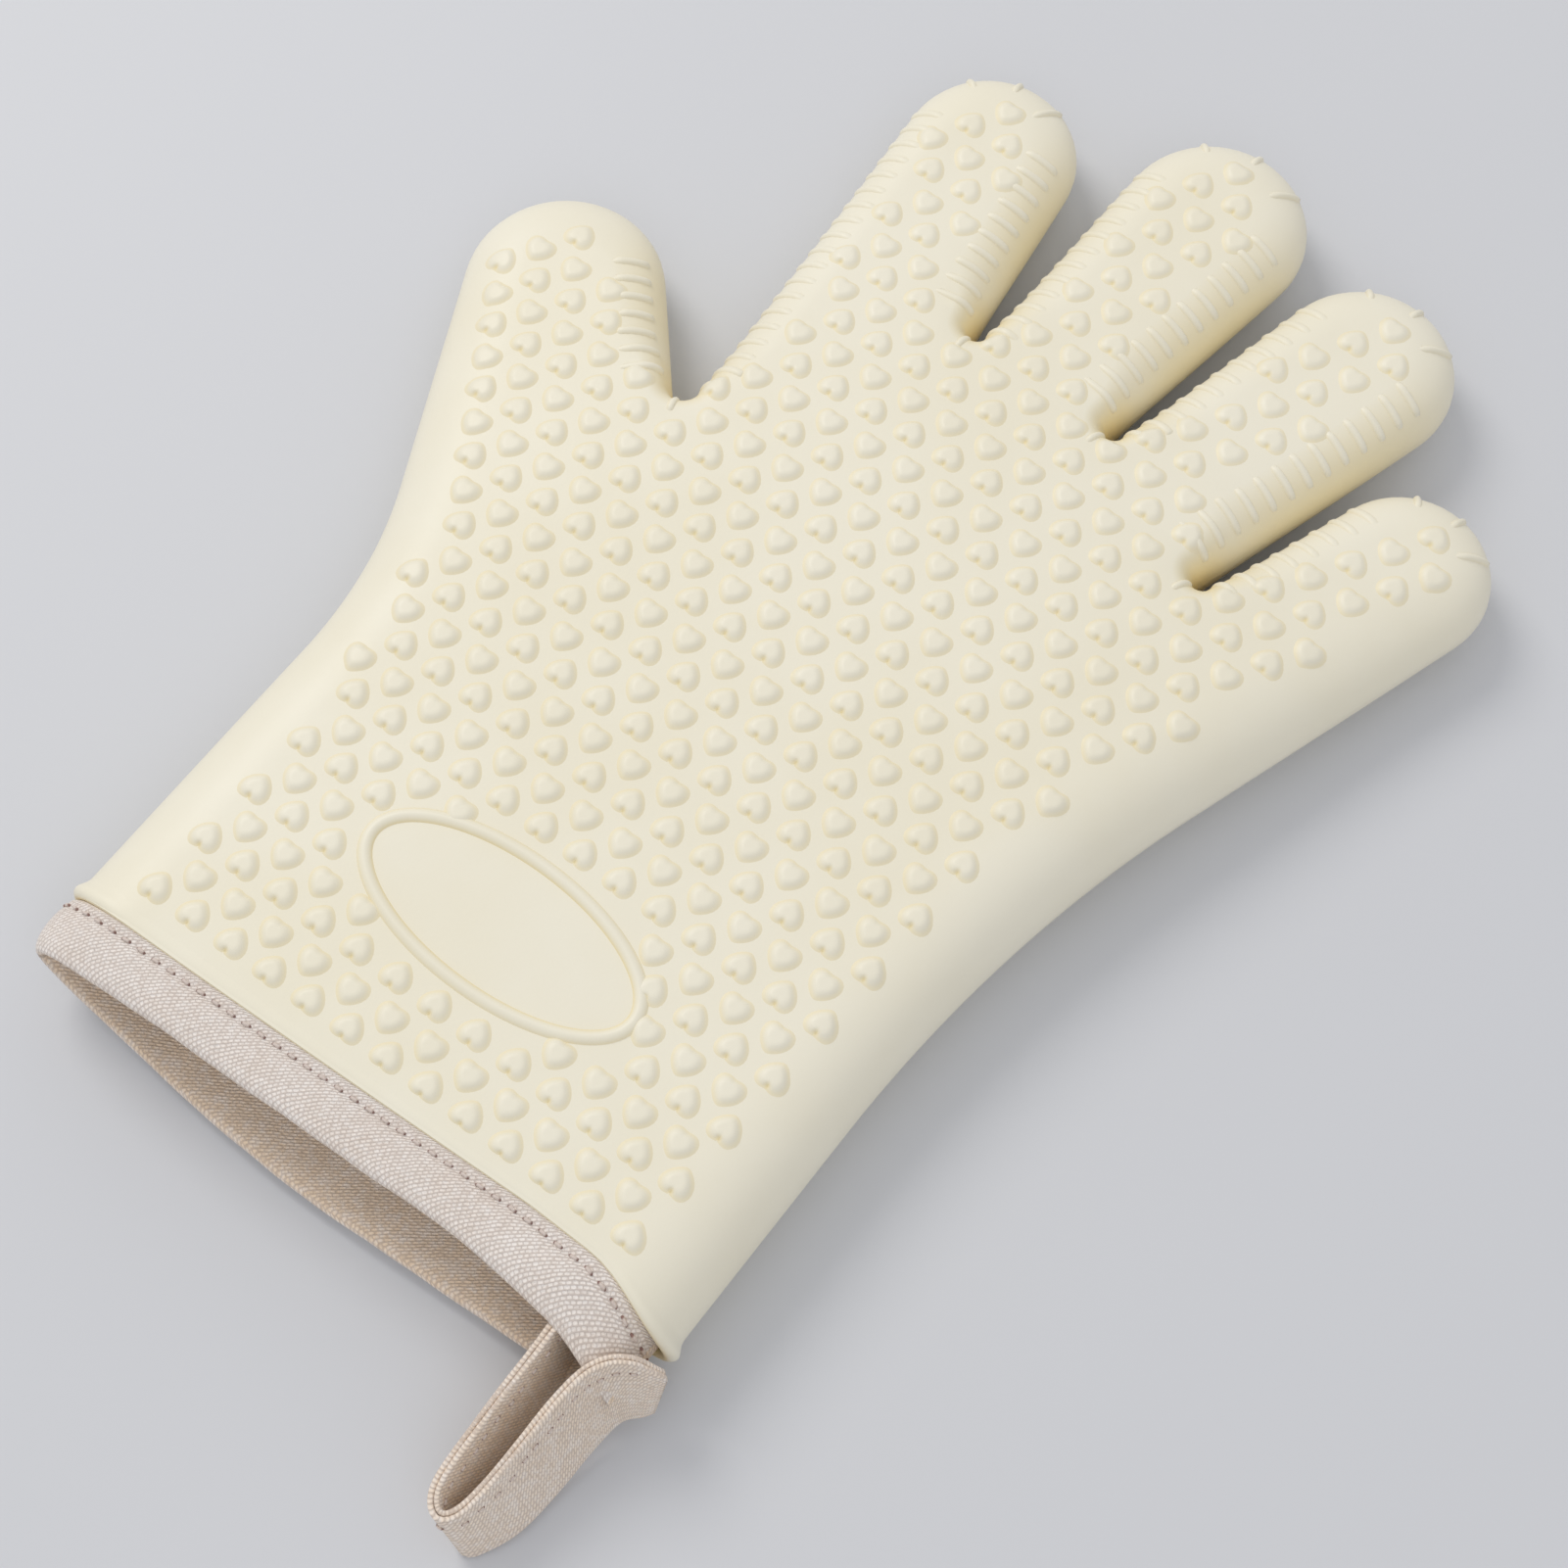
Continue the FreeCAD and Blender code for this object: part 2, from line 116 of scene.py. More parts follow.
# Heart grip: rows across the hand, turned to and fro.
FIRST_ROW = 9.3
ROW_PITCH = 6.5
ROW_GROWTH = 0.008
ROW_SLANT = 0.02
ROWS = 38
HEART_PITCH = 9.2
HEART_PHASE = -0.95
HEART_DRIFT = 0.04
HEARTS_EACH_WAY = 13
HEART_HALF_WIDTH = 3.3
SLANT_END = 120.0             # rows stand square to the hand from here on
FAN_START = (0, 70)           # the fan grows along this stretch of the hand
FAN_ACROSS = (0.90, 0.17, 1.0, 0.3)      # how the rows fan out towards the fingers
FAN_ALONG = (-0.35, 1.35, 1.1, 2.45, 0.5)
PIT_PLACE = -1.72             # pinprick pit at the cleft of every heart that faces the cuff
PIT_SPREAD = 0.46
PIT_DEPTH = 0.42

# The outline's runs and rounds, numbered from the thumb side: runs from 0, rounds from 100.
FIRST_ROUND = 100
OUTER_RUNS = {0, 1, 10, 11, 100, 110}
TIP_ROUNDS = {101, 103, 105, 107, 109}
CROTCH_ROUNDS = (102, 104, 106, 108)
# Bare skin between the sides and the middles of the hearts. 101 is the thumb's tip, and the
# ribbed margins are the sides of the fingers that have long ribs.
TIP_MARGIN = 8.4
INNER_MARGIN = 8.7
OUTER_MARGINS = {0: 13.4, 100: 10.6, 1: 7.4, 10: 11.0, 110: 13.5, 11: 13.5, 101: 9.8}
RIBBED_MARGINS = {2: 10.6, 4: 10.6, 6: 10.6, 8: 10.6}

# Grip ribs over the sides of the fingers.
RIB_PITCH = 4.6
RIB_CROTCH_GAP = 2.2          # bare length between a crotch and the first rib
RIB_WIDTH = 1.95
RIB_RISE = 0.9
FAR_RIB_RISE = 0.6
RIB_REACH = 10.4
FAR_RIB_REACH = 7.8           # on the side of each finger that faces the thumb
RIB_FOOT = math.radians(42)
FAR_RIB_FOOT = math.radians(16)
TICK_FOOT = math.radians(22)
# Ticks round a fingertip: share of the way round, and reach from the side.
TIP_TICKS = ((0.26, 5.0), (0.47, 5.6), (0.68, 8.6))
TIP_TICK_SHARE = 0.85         # a tick's width beside a rib's
CROTCH_TICK_REACH = 6.4
CROTCH_TICK_SHARE = 0.8
RIB_SINK = 0.09               # how deep a rib's edges lie in the skin
RIB_ROWS = 10
RIB_COLUMNS = 7

# Oval name place, left bare.
OVAL_MIDDLE = (-1.0, 41.6)
OVAL_HALF = (31.0, 13.6)
OVAL_RIDGE = 3.0
OVAL_RISE = 0.95
OVAL_SINK = 0.05
OVAL_STEPS = 96
OVAL_ROWS = 11

# Cotton band and tape.
BAND_HALF_WIDTH = 68.2
BAND_HALF_HEIGHT = 10.3
BAND_SHOWN = 13.2
LITTLE_SHARE = -0.1           # how much of its swell the band keeps at the loop's corner
BAND_SWELL = (3.2, 1.05)      # the band's swell across and up at the stitch row
STITCH_INSET = 2.6
STITCH_PITCH = 3.5
STITCH_LENGTH = 2.3
STITCH_WIDTH = 0.75
STITCH_STAND = 0.16           # how far a stitch's middle stands out of the band
STITCH_LEAN = 0.12
STITCH_ROLL = 18.0            # the band's roll at its stitch row
STITCH_ROWS = 7
STITCH_SIDES = 6
PUCKER_RISE = 0.10            # small puckers of the band at its stitches
PUCKER_SPREAD = 1.6
CLOTH_WAVE = 0.22             # soft unevenness of the rest of it
TAPE_WIDTH = 16.0
TAPE_EDGE = 0.5               # rounding of the tape's edges
TAPE_PLY = 1.12
TAPE_ROWS = 110
TAPE_STITCH_START = 9.0
TAPE_STITCH_BARE = 12.0       # length of tape without stitches
TAPE_STITCH_INSET = 3.1
TAPE_STITCH_SIZE = (1.7, 0.5)   # length and width
PLY_WEAVE = (100.0, 40.0)     # where the plies' weaves lie, so that they differ
LINING_INSET = 3.4
LINING_START = 6.0            # how far inside the cuff the lining begins

# The glove lies flatter from the palm's middle out to its fingers.
PALM_MIDDLE = (10.0, 90.0)
FLATTENING = 0.225
FLAT_SPAN = (55.0, 150.0)     # distance from the palm's middle
FLAT_START = (40.0, 110.0)    # along the hand

# The open cuff's edge draws back on the palm side and pushes out on the back.
PALM_DRAW = 5.1
PALM_DRAW_AT = 36.0
PALM_DRAW_END = (50.0, 73.0)
CORNER_DROP = 0.9
FOLD_LIFT = 1.9               # the palm side of the fold sits higher than the back
FOLD_LIFT_END = (22.0, 56.0)
BACK_PUSH = 3.6
BACK_PUSH_AT = -10.0
BACK_PUSH_SPREAD = 42.0
CUFF_EASE = 9.0               # how far up the silicone the edge's curve fades out

# How finely a section of the cuff is divided: over a rolled side, and over the flat.
CUFF_TURNS = 17
CUFF_FLAT = 91

# Sections along the cuff: where along the hand, then how far out and up from the plain section.
LIP_ROWS = 28
LIP_KNOTS = [
    (1.1, -1.7, -1.6), (0.3, -1.5, -1.4), (-0.12, -0.8, -0.8), (-0.1, -0.1, -0.35),
    (0.3, 0.6, -0.08), (0.9, 1.1, 0.05), (1.6, 1.2, 0.08), (2.3, 0.85, 0.05),
    (3.0, 0.4, 0.0), (3.8, 0.08, -0.04), (5.2, 0.0, -0.06),
]
BAND_ROWS = 66
BAND_KNOTS = [                # the last number is the roll
    (3.0, -0.9, -0.2, 15), (0.7, 0.6, 1.15, 15), (-0.3, 2.2, 1.4, 15.5), (-1.2, 3.1, 1.45, 16.5),
    (-2.6, 3.2, 1.05, 18), (-4.2, 3.7, 1.4, 20.5), (-7.0, 3.9, 1.35, 25.5),
    (-10.0, 3.6, 0.95, 31.5), (-12.0, 2.9, 0.4, 36), (-12.95, 2.1, -0.3, 38.5),
    (-13.2, 1.4, -1.0, 39), (-12.9, 0.8, -1.6, 38.5), (-12.0, 0.3, -2.0, 37),
    (-9.0, 0.0, -2.15, 32), (-4.0, -0.6, -2.15, 23.5), (2.0, -2.2, -2.1, 18), (9.0, -2.4, -2.1, 16),
]


# ---- outline of the glove ----

def smooth_step(value, low, high):
    """0 below low, 1 above high and an S-shaped rise between."""
    share = np.clip((value - low) / (high - low), 0, 1)
    return share * share * (3 - 2 * share)


def heading(angle):
    return np.array((math.cos(angle), math.sin(angle)))


def left_of(vector):
    return np.array((-vector[1], vector[0]))


def distances(points):
    """Distance along a line of points from its first point to each."""
    return np.concatenate(([0.0], np.cumsum(np.linalg.norm(np.diff(points, axis=0), axis=1))))


def point_at(place, along, points):
    """Point of a line at one or more distances along it."""
    return np.stack([np.interp(place, along, column) for column in points.T], axis=-1)


def outline_rounds(inset):
    """Rounds of the outline from the thumb side to the little-finger side."""
    half = CUFF_WIDTH / 2.0
    rounds = [(np.array((-half - THUMB_SIDE_BEND, THUMB_SIDE_STRAIGHT)), THUMB_SIDE_BEND + inset)]
    for number, finger in enumerate(FINGERS):
        across, along, radius = TIPS[finger]
        rounds.append((np.array((across, along)), -(radius - inset)))
        if number + 1 < len(FINGERS):
            across, along, radius = CROTCHES[finger, FINGERS[number + 1]]
            rounds.append((np.array((across, along)), radius + inset))
    rounds.append((np.array((half + LITTLE_SIDE_BEND, LITTLE_SIDE_STRAIGHT)), LITTLE_SIDE_BEND + inset))
    return rounds


def tangent_angles(rounds):
    """Heading of the straight line that joins each round to the next."""
    angles = [math.pi / 2]
    for (centre, radius), (next_centre, next_radius) in zip(rounds, rounds[1:]):
        span = next_centre - centre
        turn = math.asin((next_radius - radius) / np.linalg.norm(span))
        angles.append(math.atan2(span[1], span[0]) - turn)
    angles.append(-math.pi / 2)
    return angles


def middle_heading(up, down):
    """Heading midway between a side that runs up and one that runs down."""
    return heading((up + (down + math.pi) % (2 * math.pi)) / 2.0)


class Outline:
    """Samples round the glove, with the way in, the roll and the bare margin at each."""

    def __init__(self, inset=0.0, start=0.0, step=SKIN_STEP):
        points, inward, kinds = [], [], []
        rounds = outline_rounds(inset)
        angles = tangent_angles(rounds)
        half = CUFF_WIDTH / 2.0 - inset
        last = np.array((-half, start))
        for number, ((centre, radius), begin, end) in enumerate(zip(rounds, angles, angles[1:])):
            first = centre - left_of(heading(begin)) * radius
            self.add_run(points, inward, kinds, last, first, begin, number, step)
            change = (end - begin) % (2 * math.pi)
            change = change if radius > 0 else change - 2 * math.pi
            count = max(2, int(abs(change) / math.radians(7)), int(abs(change * radius) / step))
            for share in np.arange(count) / count:
                angle = begin + change * share
                points.append(centre - left_of(heading(angle)) * radius)
                inward.append(-left_of(heading(angle)))
                kinds.append(number + FIRST_ROUND)
            last = centre - left_of(heading(end)) * radius
        final = np.array((half, start))
        self.add_run(points, inward, kinds, last, final, -math.pi / 2, len(rounds), step)
        points.append(final)
        inward.append(np.array((-1.0, 0.0)))
        kinds.append(len(rounds))
        self.points = np.array(points)
        self.inward = np.array(inward)
        self.kinds = np.array(kinds)
        self.along = distances(self.points)
        rolls = [OUTER_ROLL if kind in OUTER_RUNS else TIP_ROLL if kind in TIP_ROUNDS else INNER_ROLL
                 for kind in self.kinds]
        bare = {**OUTER_MARGINS, **RIBBED_MARGINS}
        margins = [bare.get(kind, TIP_MARGIN if kind in TIP_ROUNDS else INNER_MARGIN)
                   for kind in self.kinds]
        crotch = self.near_crotch(self.points)
        self.roll = self.smoothed(rolls, ROLL_SPREAD) * crotch - inset
        self.margin = self.smoothed(margins, MARGIN_SPREAD) * crotch

    @staticmethod
    def add_run(points, inward, kinds, last, first, angle, number, step):
        count = max(1, int(np.linalg.norm(first - last) / step))
        for share in np.arange(count) / count:
            points.append(last + (first - last) * share)
            inward.append(-left_of(heading(angle)))
            kinds.append(number)

    @staticmethod
    def near_crotch(points):
        """Share of the roll that is left close to a crotch."""
        ends = np.array([crotch[:2] for crotch in CROTCHES.values()])
        far = np.linalg.norm(points[:, None] - ends[None], axis=2).min(axis=1)
        return CROTCH_ROLL_SHARE + (1 - CROTCH_ROLL_SHARE) * smooth_step(far, 0, CROTCH_REACH)

    def smoothed(self, values, spread):
        away = (self.along[:, None] - self.along[None]) / spread
        weight = np.exp(-0.5 * away * away)
        return (weight * np.array(values)[None]).sum(axis=1) / weight.sum(axis=1)

    def nearest(self, points):
        """Distance inside the outline of each point, and the sample nearest to it."""
        away = np.linalg.norm(points[:, None] - self.points[None], axis=2)
        index = away.argmin(axis=1)
        side = ((points - self.points[index]) * self.inward[index]).sum(axis=1)
        return np.where(side >= 0, away.min(axis=1), -away.min(axis=1)), index

    def at(self, along):
        """Place, way in and roll at a distance round the outline."""
        place = point_at(along, self.along, self.points)
        inward = point_at(along, self.along, self.inward)
        return place, inward / np.linalg.norm(inward), np.interp(along, self.along, self.roll)

    def stretch(self, kind):
        """First and last distance round the outline of one run or round."""
        picked = self.along[self.kinds == kind]
        return picked.min(), picked.max()


SKIN = Outline(step=SKIN_STEP / 2)   # finer, to measure by


def skin_level(points):
    """Height of the bare skin above the middle plane at each point in plan."""
    inside, index = SKIN.nearest(points)
    roll = SKIN.roll[index]
    share = np.clip(1 - inside / roll, 0, 1)
    return SKIN_HALF * np.sqrt(1 - share * share)


# ---- fingers and knuckles ----

def finger_frames():
    """Heading of each finger and the middle of its knuckle line."""
    angles = tangent_angles(outline_rounds(0.0))
    frames = {}
    for number, finger in enumerate(FINGERS):
        along = middle_heading(angles[2 * number + 1], angles[2 * number + 2])
        near = [CROTCHES[pair] for pair in CROTCHES if finger in pair]
        reach = max(np.dot((x, y), along) + radius for x, y, radius in near)
        tip = np.array(TIPS[finger][:2])
        frames[finger] = (tip + along * (reach + KNUCKLE_MARGIN - tip @ along), along)
    return frames


def gap_lines():
    """Line up the middle of the gap from each crotch."""
    angles = tangent_angles(outline_rounds(0.0))
    lines = {}
    for pair, (across, along, _) in CROTCHES.items():
        number = FINGERS.index(pair[0])
        up = middle_heading(angles[2 * number + 3], angles[2 * number + 2])
        lines[pair] = (np.array((across, along)), up)
    return lines


KNUCKLES = finger_frames()
GAPS = gap_lines()


def in_finger_strip(points, finger):
    """True for points between the gaps at both sides of a finger."""
    inside = np.ones(len(points), bool)
    for pair, (crotch, up) in GAPS.items():
        if finger in pair:
            side = (points - crotch) @ left_of(up)
            inside &= side > 0 if finger == pair[0] else side < 0
    return inside


def past_knuckle(points, finger):
    """How far each point lies beyond a finger's knuckle line."""
    knuckle, along = KNUCKLES[finger]
    return (points - knuckle) @ along


# ---- forms: points in millimetres, faces and the painted shade at each point ----

class Form:
    def __init__(self, points=(), faces=(), painted_shade=None):
        self.points = np.array(points, float).reshape(-1, 3)
        self.faces = [tuple(face) for face in faces]
        self.painted_shade = np.zeros(len(self.points)) if painted_shade is None else np.array(painted_shade, float)

    def turned_over(self):
        """The same form on the other face of the glove."""
        points = self.points * (1, 1, -1)
        return Form(points, [face[::-1] for face in self.faces], self.painted_shade)


def joined(forms):
    """One form from several."""
    whole = Form()
    whole.points = np.concatenate([form.points for form in forms])
    whole.painted_shade = np.concatenate([form.painted_shade for form in forms])
    first = 0
    for form in forms:
        whole.faces += [tuple(first + corner for corner in face) for face in form.faces]
        first += len(form.points)
    return whole


def packed(form, faces):
    """Some of a form's faces, with only the points that they use."""
    used = sorted({corner for face in faces for corner in face})
    place = {corner: i for i, corner in enumerate(used)}
    return Form(form.points[used], [[place[c] for c in face] for face in faces], form.painted_shade[used])


def grid_faces(rows, columns, closed=False, start=0):
    """Quads between rows of points; closed joins each row's last point to its first."""
    faces = []
    for row in range(rows - 1):
        for column in range(columns if closed else columns - 1):
            beside = (column + 1) % columns
            a = start + row * columns
            b = a + columns
            faces.append((a + column, a + beside, b + beside, b + column))
    return faces


def end_faces(count, columns):
    """Faces that close the first and the last row of a tube of points."""
    return [tuple(range(columns - 1, -1, -1)), tuple(range(count - columns, count))]


def settled(points):
    """Heights above the rest surface, with thinner fingers and the cuff's edge curved."""
    across, along, height = points.T
    upper = smooth_step(height, -SKIN_HALF, SKIN_HALF)
    half = CUFF_WIDTH / 2.0
    rise = np.clip((across + half) / (PALM_DRAW_AT + half), 0, 1) ** 1.2
    palm = PALM_DRAW * rise * (1 - smooth_step(across, *PALM_DRAW_END)) - CORNER_DROP
    back = -BACK_PUSH * np.exp(-((across - BACK_PUSH_AT) / BACK_PUSH_SPREAD) ** 2) - CORNER_DROP / 2
    draw = (palm * upper + back * (1 - upper)) * (1 - smooth_step(along, 0, CUFF_EASE))
    draw += FOLD_LIFT * upper * np.clip(-along / BAND_SHOWN, 0, 1) * (1 - smooth_step(across, *FOLD_LIFT_END))
    away = np.hypot(across - PALM_MIDDLE[0], np.maximum(0, along - PALM_MIDDLE[1]))
    thin = FLATTENING * smooth_step(away, *FLAT_SPAN) * smooth_step(along, *FLAT_START)
    return np.c_[across, along + draw, (height + MIDDLE) * (1 - thin)]


def make_piece(name, form, material, uv=None, hung=False):
    """Blender piece from a form; a hung piece keeps its place, others are settled."""
    mesh = bpy.data.meshes.new(name)
    lifted = form.points + (0, 0, MIDDLE) if hung else settled(form.points)
    placed = (lifted - (0, REST_POINT, 0)) * MM
    mesh.from_pydata(placed.tolist(), [], form.faces)
    mesh.polygons.foreach_set("use_smooth", [True] * len(mesh.polygons))
    # painted shade of each point, which the finishes turn into darker, warmer colour
    painted_shade = mesh.attributes.new("painted_shade", "FLOAT", "POINT")
    painted_shade.data.foreach_set("value", form.painted_shade.astype(np.float32))
    if uv is not None:
        layer = mesh.uv_layers.new(name="cloth")
        corners = np.empty(len(mesh.loops), int)
        mesh.loops.foreach_get("vertex_index", corners)
        layer.data.foreach_set("uv", (np.asarray(uv)[corners] * MM).astype(np.float32).ravel())
    mesh.materials.append(material)
    mesh.update()
    piece = bpy.data.objects.new(name, mesh)
    bpy.context.collection.objects.link(piece)
    return piece


# ---- rolled glove layers ----

def inside_polygon(points, polygon):
    """True for points that a ray across shows to lie inside a closed line."""
    x, y = points[:, 0:1], points[:, 1:2]
    x0, y0 = polygon[:, 0], polygon[:, 1]
    x1, y1 = np.roll(x0, -1), np.roll(y0, -1)
    crosses = (y0 > y) != (y1 > y)
    with np.errstate(divide="ignore", invalid="ignore"):
        at = x0 + (y - y0) * (x1 - x0) / (y1 - y0)
    return (crosses & (x < at)).sum(axis=1) % 2 == 1


def spread_inside(polygon, grid):
    """Points on a grid of even triangles inside a closed line, clear of the line itself."""
    low, high = polygon.min(axis=0), polygon.max(axis=0)
    inner = []
    for row, y in enumerate(np.arange(low[1] + grid, high[1], grid * 0.866)):
        shift = 0.5 * grid * (row % 2)
        inner += [(x, y) for x in np.arange(low[0] + shift, high[0], grid)]
    inner = np.array(inner)
    inner = inner[inside_polygon(inner, polygon)]
    gap = np.linalg.norm(inner[:, None] - polygon[None], axis=2).min(axis=1)
    return inner[gap > 0.55 * grid]


def upper_layer(outline, half, rings, grid):
    """Upper face of a glove layer, from its side at the middle plane to its flat top."""
    turns = np.linspace(0, math.pi / 2, rings + 1)
    rows = []
    for turn in turns:
        plan = outline.points + outline.inward * (outline.roll * (1 - math.cos(turn)))[:, None]
        rows.append(np.c_[plan, np.full(len(plan), half * math.sin(turn))])
    count = len(outline.points)
    # painted shade near the crotches and on the sides between fingers, fading up the roll
    near = 1.0 - outline.near_crotch(outline.points)
    between = [float(kind in RIBBED_MARGINS) for kind in outline.kinds]
    sides = GAP_SHADE * outline.smoothed(between, SHADE_SPREAD)
    shade_depth = np.maximum(near / (1 - CROTCH_ROLL_SHARE), sides)
    painted_shade = np.concatenate([shade_depth * math.cos(turn) for turn in turns])
    edge = rows[-1][:, :2]
    span = edge[0, 0] - edge[-1, 0]
    steps = int(abs(span) / grid)
    cuff = [edge[-1] + (edge[0] - edge[-1]) * share for share in np.arange(1, steps) / steps]
    polygon = np.concatenate((edge, cuff))
    sites = [Vector(point) for point in np.concatenate((polygon, spread_inside(polygon, grid)))]
    loop = [(i, (i + 1) % len(polygon)) for i in range(len(polygon))]
    places, _, triangles, origins, _, _ = delaunay_2d_cdt(sites, loop, [], 1, 1e-4)
    first_flat = len(turns) * count
    index = []
    flat = []
    for place, origin in zip(places, origins):
        if origin and origin[0] < count:
            index.append((len(turns) - 1) * count + origin[0])
        else:
            index.append(first_flat + len(flat))
            flat.append((place[0], place[1], half))
    points = np.concatenate(rows + [np.array(flat)])
    painted_shade = np.concatenate((painted_shade, np.zeros(len(flat))))
    faces = [face[::-1] for face in grid_faces(len(turns), count)]
    for a, b, c in triangles:
        a, b, c = index[a], index[b], index[c]
        p, q, r = points[a], points[b], points[c]
        up = (q[0] - p[0]) * (r[1] - p[1]) - (q[1] - p[1]) * (r[0] - p[0])
        faces.append((a, b, c) if up > 0 else (a, c, b))
    return Form(points, faces, painted_shade)


def cut_at_knuckles(form):
    """Cut a layer along each knuckle line and sort its faces into hand and fingers."""
    shape = bmesh.new()
    # keep each point's painted shade through the cuts
    painted_shade_layer = shape.verts.layers.float.new("painted_shade")
    verts = []
    for point, painted_shade in zip(form.points, form.painted_shade):
        vert = shape.verts.new(point)
        vert[painted_shade_layer] = painted_shade
        verts.append(vert)
    for face in form.faces:
        shape.faces.new([verts[corner] for corner in face])
    reach, span = KNUCKLE_CUT
    for finger in FINGERS:
        knuckle, along = KNUCKLES[finger]
        middles = np.array([face.calc_center_median()[:2] for face in shape.faces])
        near = in_finger_strip(middles, finger) & (np.abs(past_knuckle(middles, finger)) < reach)
        near &= np.linalg.norm(middles - knuckle, axis=1) < span
        shape.faces.ensure_lookup_table()
        picked = {shape.faces[i] for i in np.nonzero(near)[0]}
        geometry = list(picked)
        geometry += list({edge for face in picked for edge in face.edges})
        geometry += list({vert for face in picked for vert in face.verts})
        bmesh.ops.bisect_plane(
            shape, geom=geometry, dist=1e-5,
            plane_co=(*knuckle, 0), plane_no=(*along, 0),
        )
    shape.verts.index_update()
    middles = np.array([face.calc_center_median()[:2] for face in shape.faces])
    owner = np.full(len(middles), -1)
    for number, finger in enumerate(FINGERS):
        owner[in_finger_strip(middles, finger) & (past_knuckle(middles, finger) > 0)] = number
    points = np.array([vert.co for vert in shape.verts])
    painted_shade = np.array([vert[painted_shade_layer] for vert in shape.verts])
    faces = [[vert.index for vert in face.verts] for face in shape.faces]
    shape.free()
    whole = Form(points, faces, painted_shade)
    parts = {}
    for number, part in enumerate(PARTS, -1):
        parts[part] = packed(whole, [face for face, own in zip(whole.faces, owner) if own == number])
    return parts


def sorted_to_parts(forms):
    """Small forms, sorted into hand and fingers."""
    parts = {part: [] for part in PARTS}
    for form in forms:
        parts[part_of(form.points[:, :2])].append(form)
    return parts


def part_of(points):
    """The finger whose knuckle line a small form passes, or the hand."""
    for finger in FINGERS:
        strip = in_finger_strip(points, finger)
        if strip.all() and past_knuckle(points, finger).max() > 0:
            return finger
    return "hand"


# ---- hearts ----

HEART_STEPS = 13              # from the cleft to the point, on each side
HEART_RINGS = (0.30, 0.46, 0.58, 0.69, 0.79, 0.89, 1.0)
HEART_SKIRT = 1.07
HEART_SINK = 0.08             # how deep the skirt lies in the skin
HEART_MIDDLE = (0.0, 0.25)
HEART_FALL = (0.44, 1.05)     # the rise falls between these shares of the way out
HEART_SHADE = (0.66, 0.98)    # and the painted shade round the heart's foot deepens between these
HEART_PAINTED_SHADE = 0.42
PIT_PAINTED_SHADE = 0.9


def heart_border(turn):
    """Rounded heart with a slight cleft towards -Y and its soft point towards +Y."""
    x = HEART_HALF_WIDTH * np.sin(turn) * (0.6 + 0.4 * np.sin(turn) ** 2)
    y = -(3.2 * np.cos(turn) - 0.5 * np.cos(2 * turn) - 0.26 * np.cos(3 * turn) - 0.04 * np.cos(4 * turn))
    return np.stack((x, y), axis=-1)


def heart_dome(pitted):
    """One raised heart: plan points, rise of each, faces and painted shade."""
    side = math.pi * np.arange(1, HEART_STEPS) / HEART_STEPS
    turns = np.concatenate(([0.0], side, [math.pi], -side[::-1]))
    border = heart_border(turns)
    steps = len(turns)
    middle = np.array(HEART_MIDDLE)
    reach = np.repeat((0.0,) + HEART_RINGS + (HEART_SKIRT,), [1] + [steps] * (len(HEART_RINGS) + 1))
    around = np.concatenate(([middle], np.tile(border, (len(HEART_RINGS) + 1, 1))))
    plan = middle + (around - middle) * reach[:, None]
    rise = HEART_RISE * (1 - smooth_step(reach, *HEART_FALL)) ** 0.9
    rise[reach > 1] = -HEART_SINK
    # painted shade round the foot of the heart
    painted_shade = HEART_PAINTED_SHADE * smooth_step(reach, *HEART_SHADE)
    if pitted:
        pit = np.exp(-((plan - (0.0, PIT_PLACE)) ** 2).sum(axis=1) / PIT_SPREAD ** 2)
        rise = np.where(reach > 1, rise, rise - PIT_DEPTH * pit)
        # painted shade in the pit at the cleft
        painted_shade = np.clip(painted_shade + PIT_PAINTED_SHADE * pit, 0, 1)
    faces = [(0, 1 + i, 1 + (i + 1) % steps) for i in range(steps)]
    faces += [face[::-1] for face in grid_faces(len(HEART_RINGS) + 1, steps, True, 1)]
    return plan, rise, faces, painted_shade


def heart_places():
    """Middle of every heart on one face, with +1 for cleft to the cuff or -1 for away from it."""
    places = []
    for row in range(ROWS):
        along = FIRST_ROW + ROW_PITCH * row + ROW_GROWTH * row * row
        kind = 1 if row % 2 == 0 else -1
        shift = HEART_PHASE + HEART_DRIFT * (along - FIRST_ROW) + (0 if kind > 0 else HEART_PITCH / 2)
        for number in range(-HEARTS_EACH_WAY, HEARTS_EACH_WAY + 1):
            across = shift + HEART_PITCH * number
            slant = ROW_SLANT * across * max(0.0, 1 - along / SLANT_END)
            x, y = across / 100, along / 100 - 1
            fan = smooth_step(along, *FAN_START)
            off = np.dot(FAN_ACROSS, (1, x, x * x - y * y, x * y))
            up = np.dot(FAN_ALONG, (1, x, y, x * y, y * y))
            places.append((across + off * fan, along + slant + up * fan, kind))
    places = np.array(places)
    middles = places[:, :2]
    inside, index = SKIN.nearest(middles)
    oval = np.hypot(*((middles - OVAL_MIDDLE) / (np.array(OVAL_HALF) + OVAL_RIDGE / 2 + 0.1)).T)
    keep = (inside > SKIN.margin[index]) & (oval > 1)
    return places[keep]


def heart_forms():
    """Hearts of one face, sorted into hand and fingers."""
    domes = {1: heart_dome(True), -1: heart_dome(False)}
    forms = []
    for across, along, kind in heart_places():
        plan, rise, faces, painted_shade = domes[kind]
        points = plan * kind + (across, along)
        forms.append(Form(np.c_[points, skin_level(points) + rise], faces, painted_shade))
    return sorted_to_parts(forms)


# ---- ribs ----

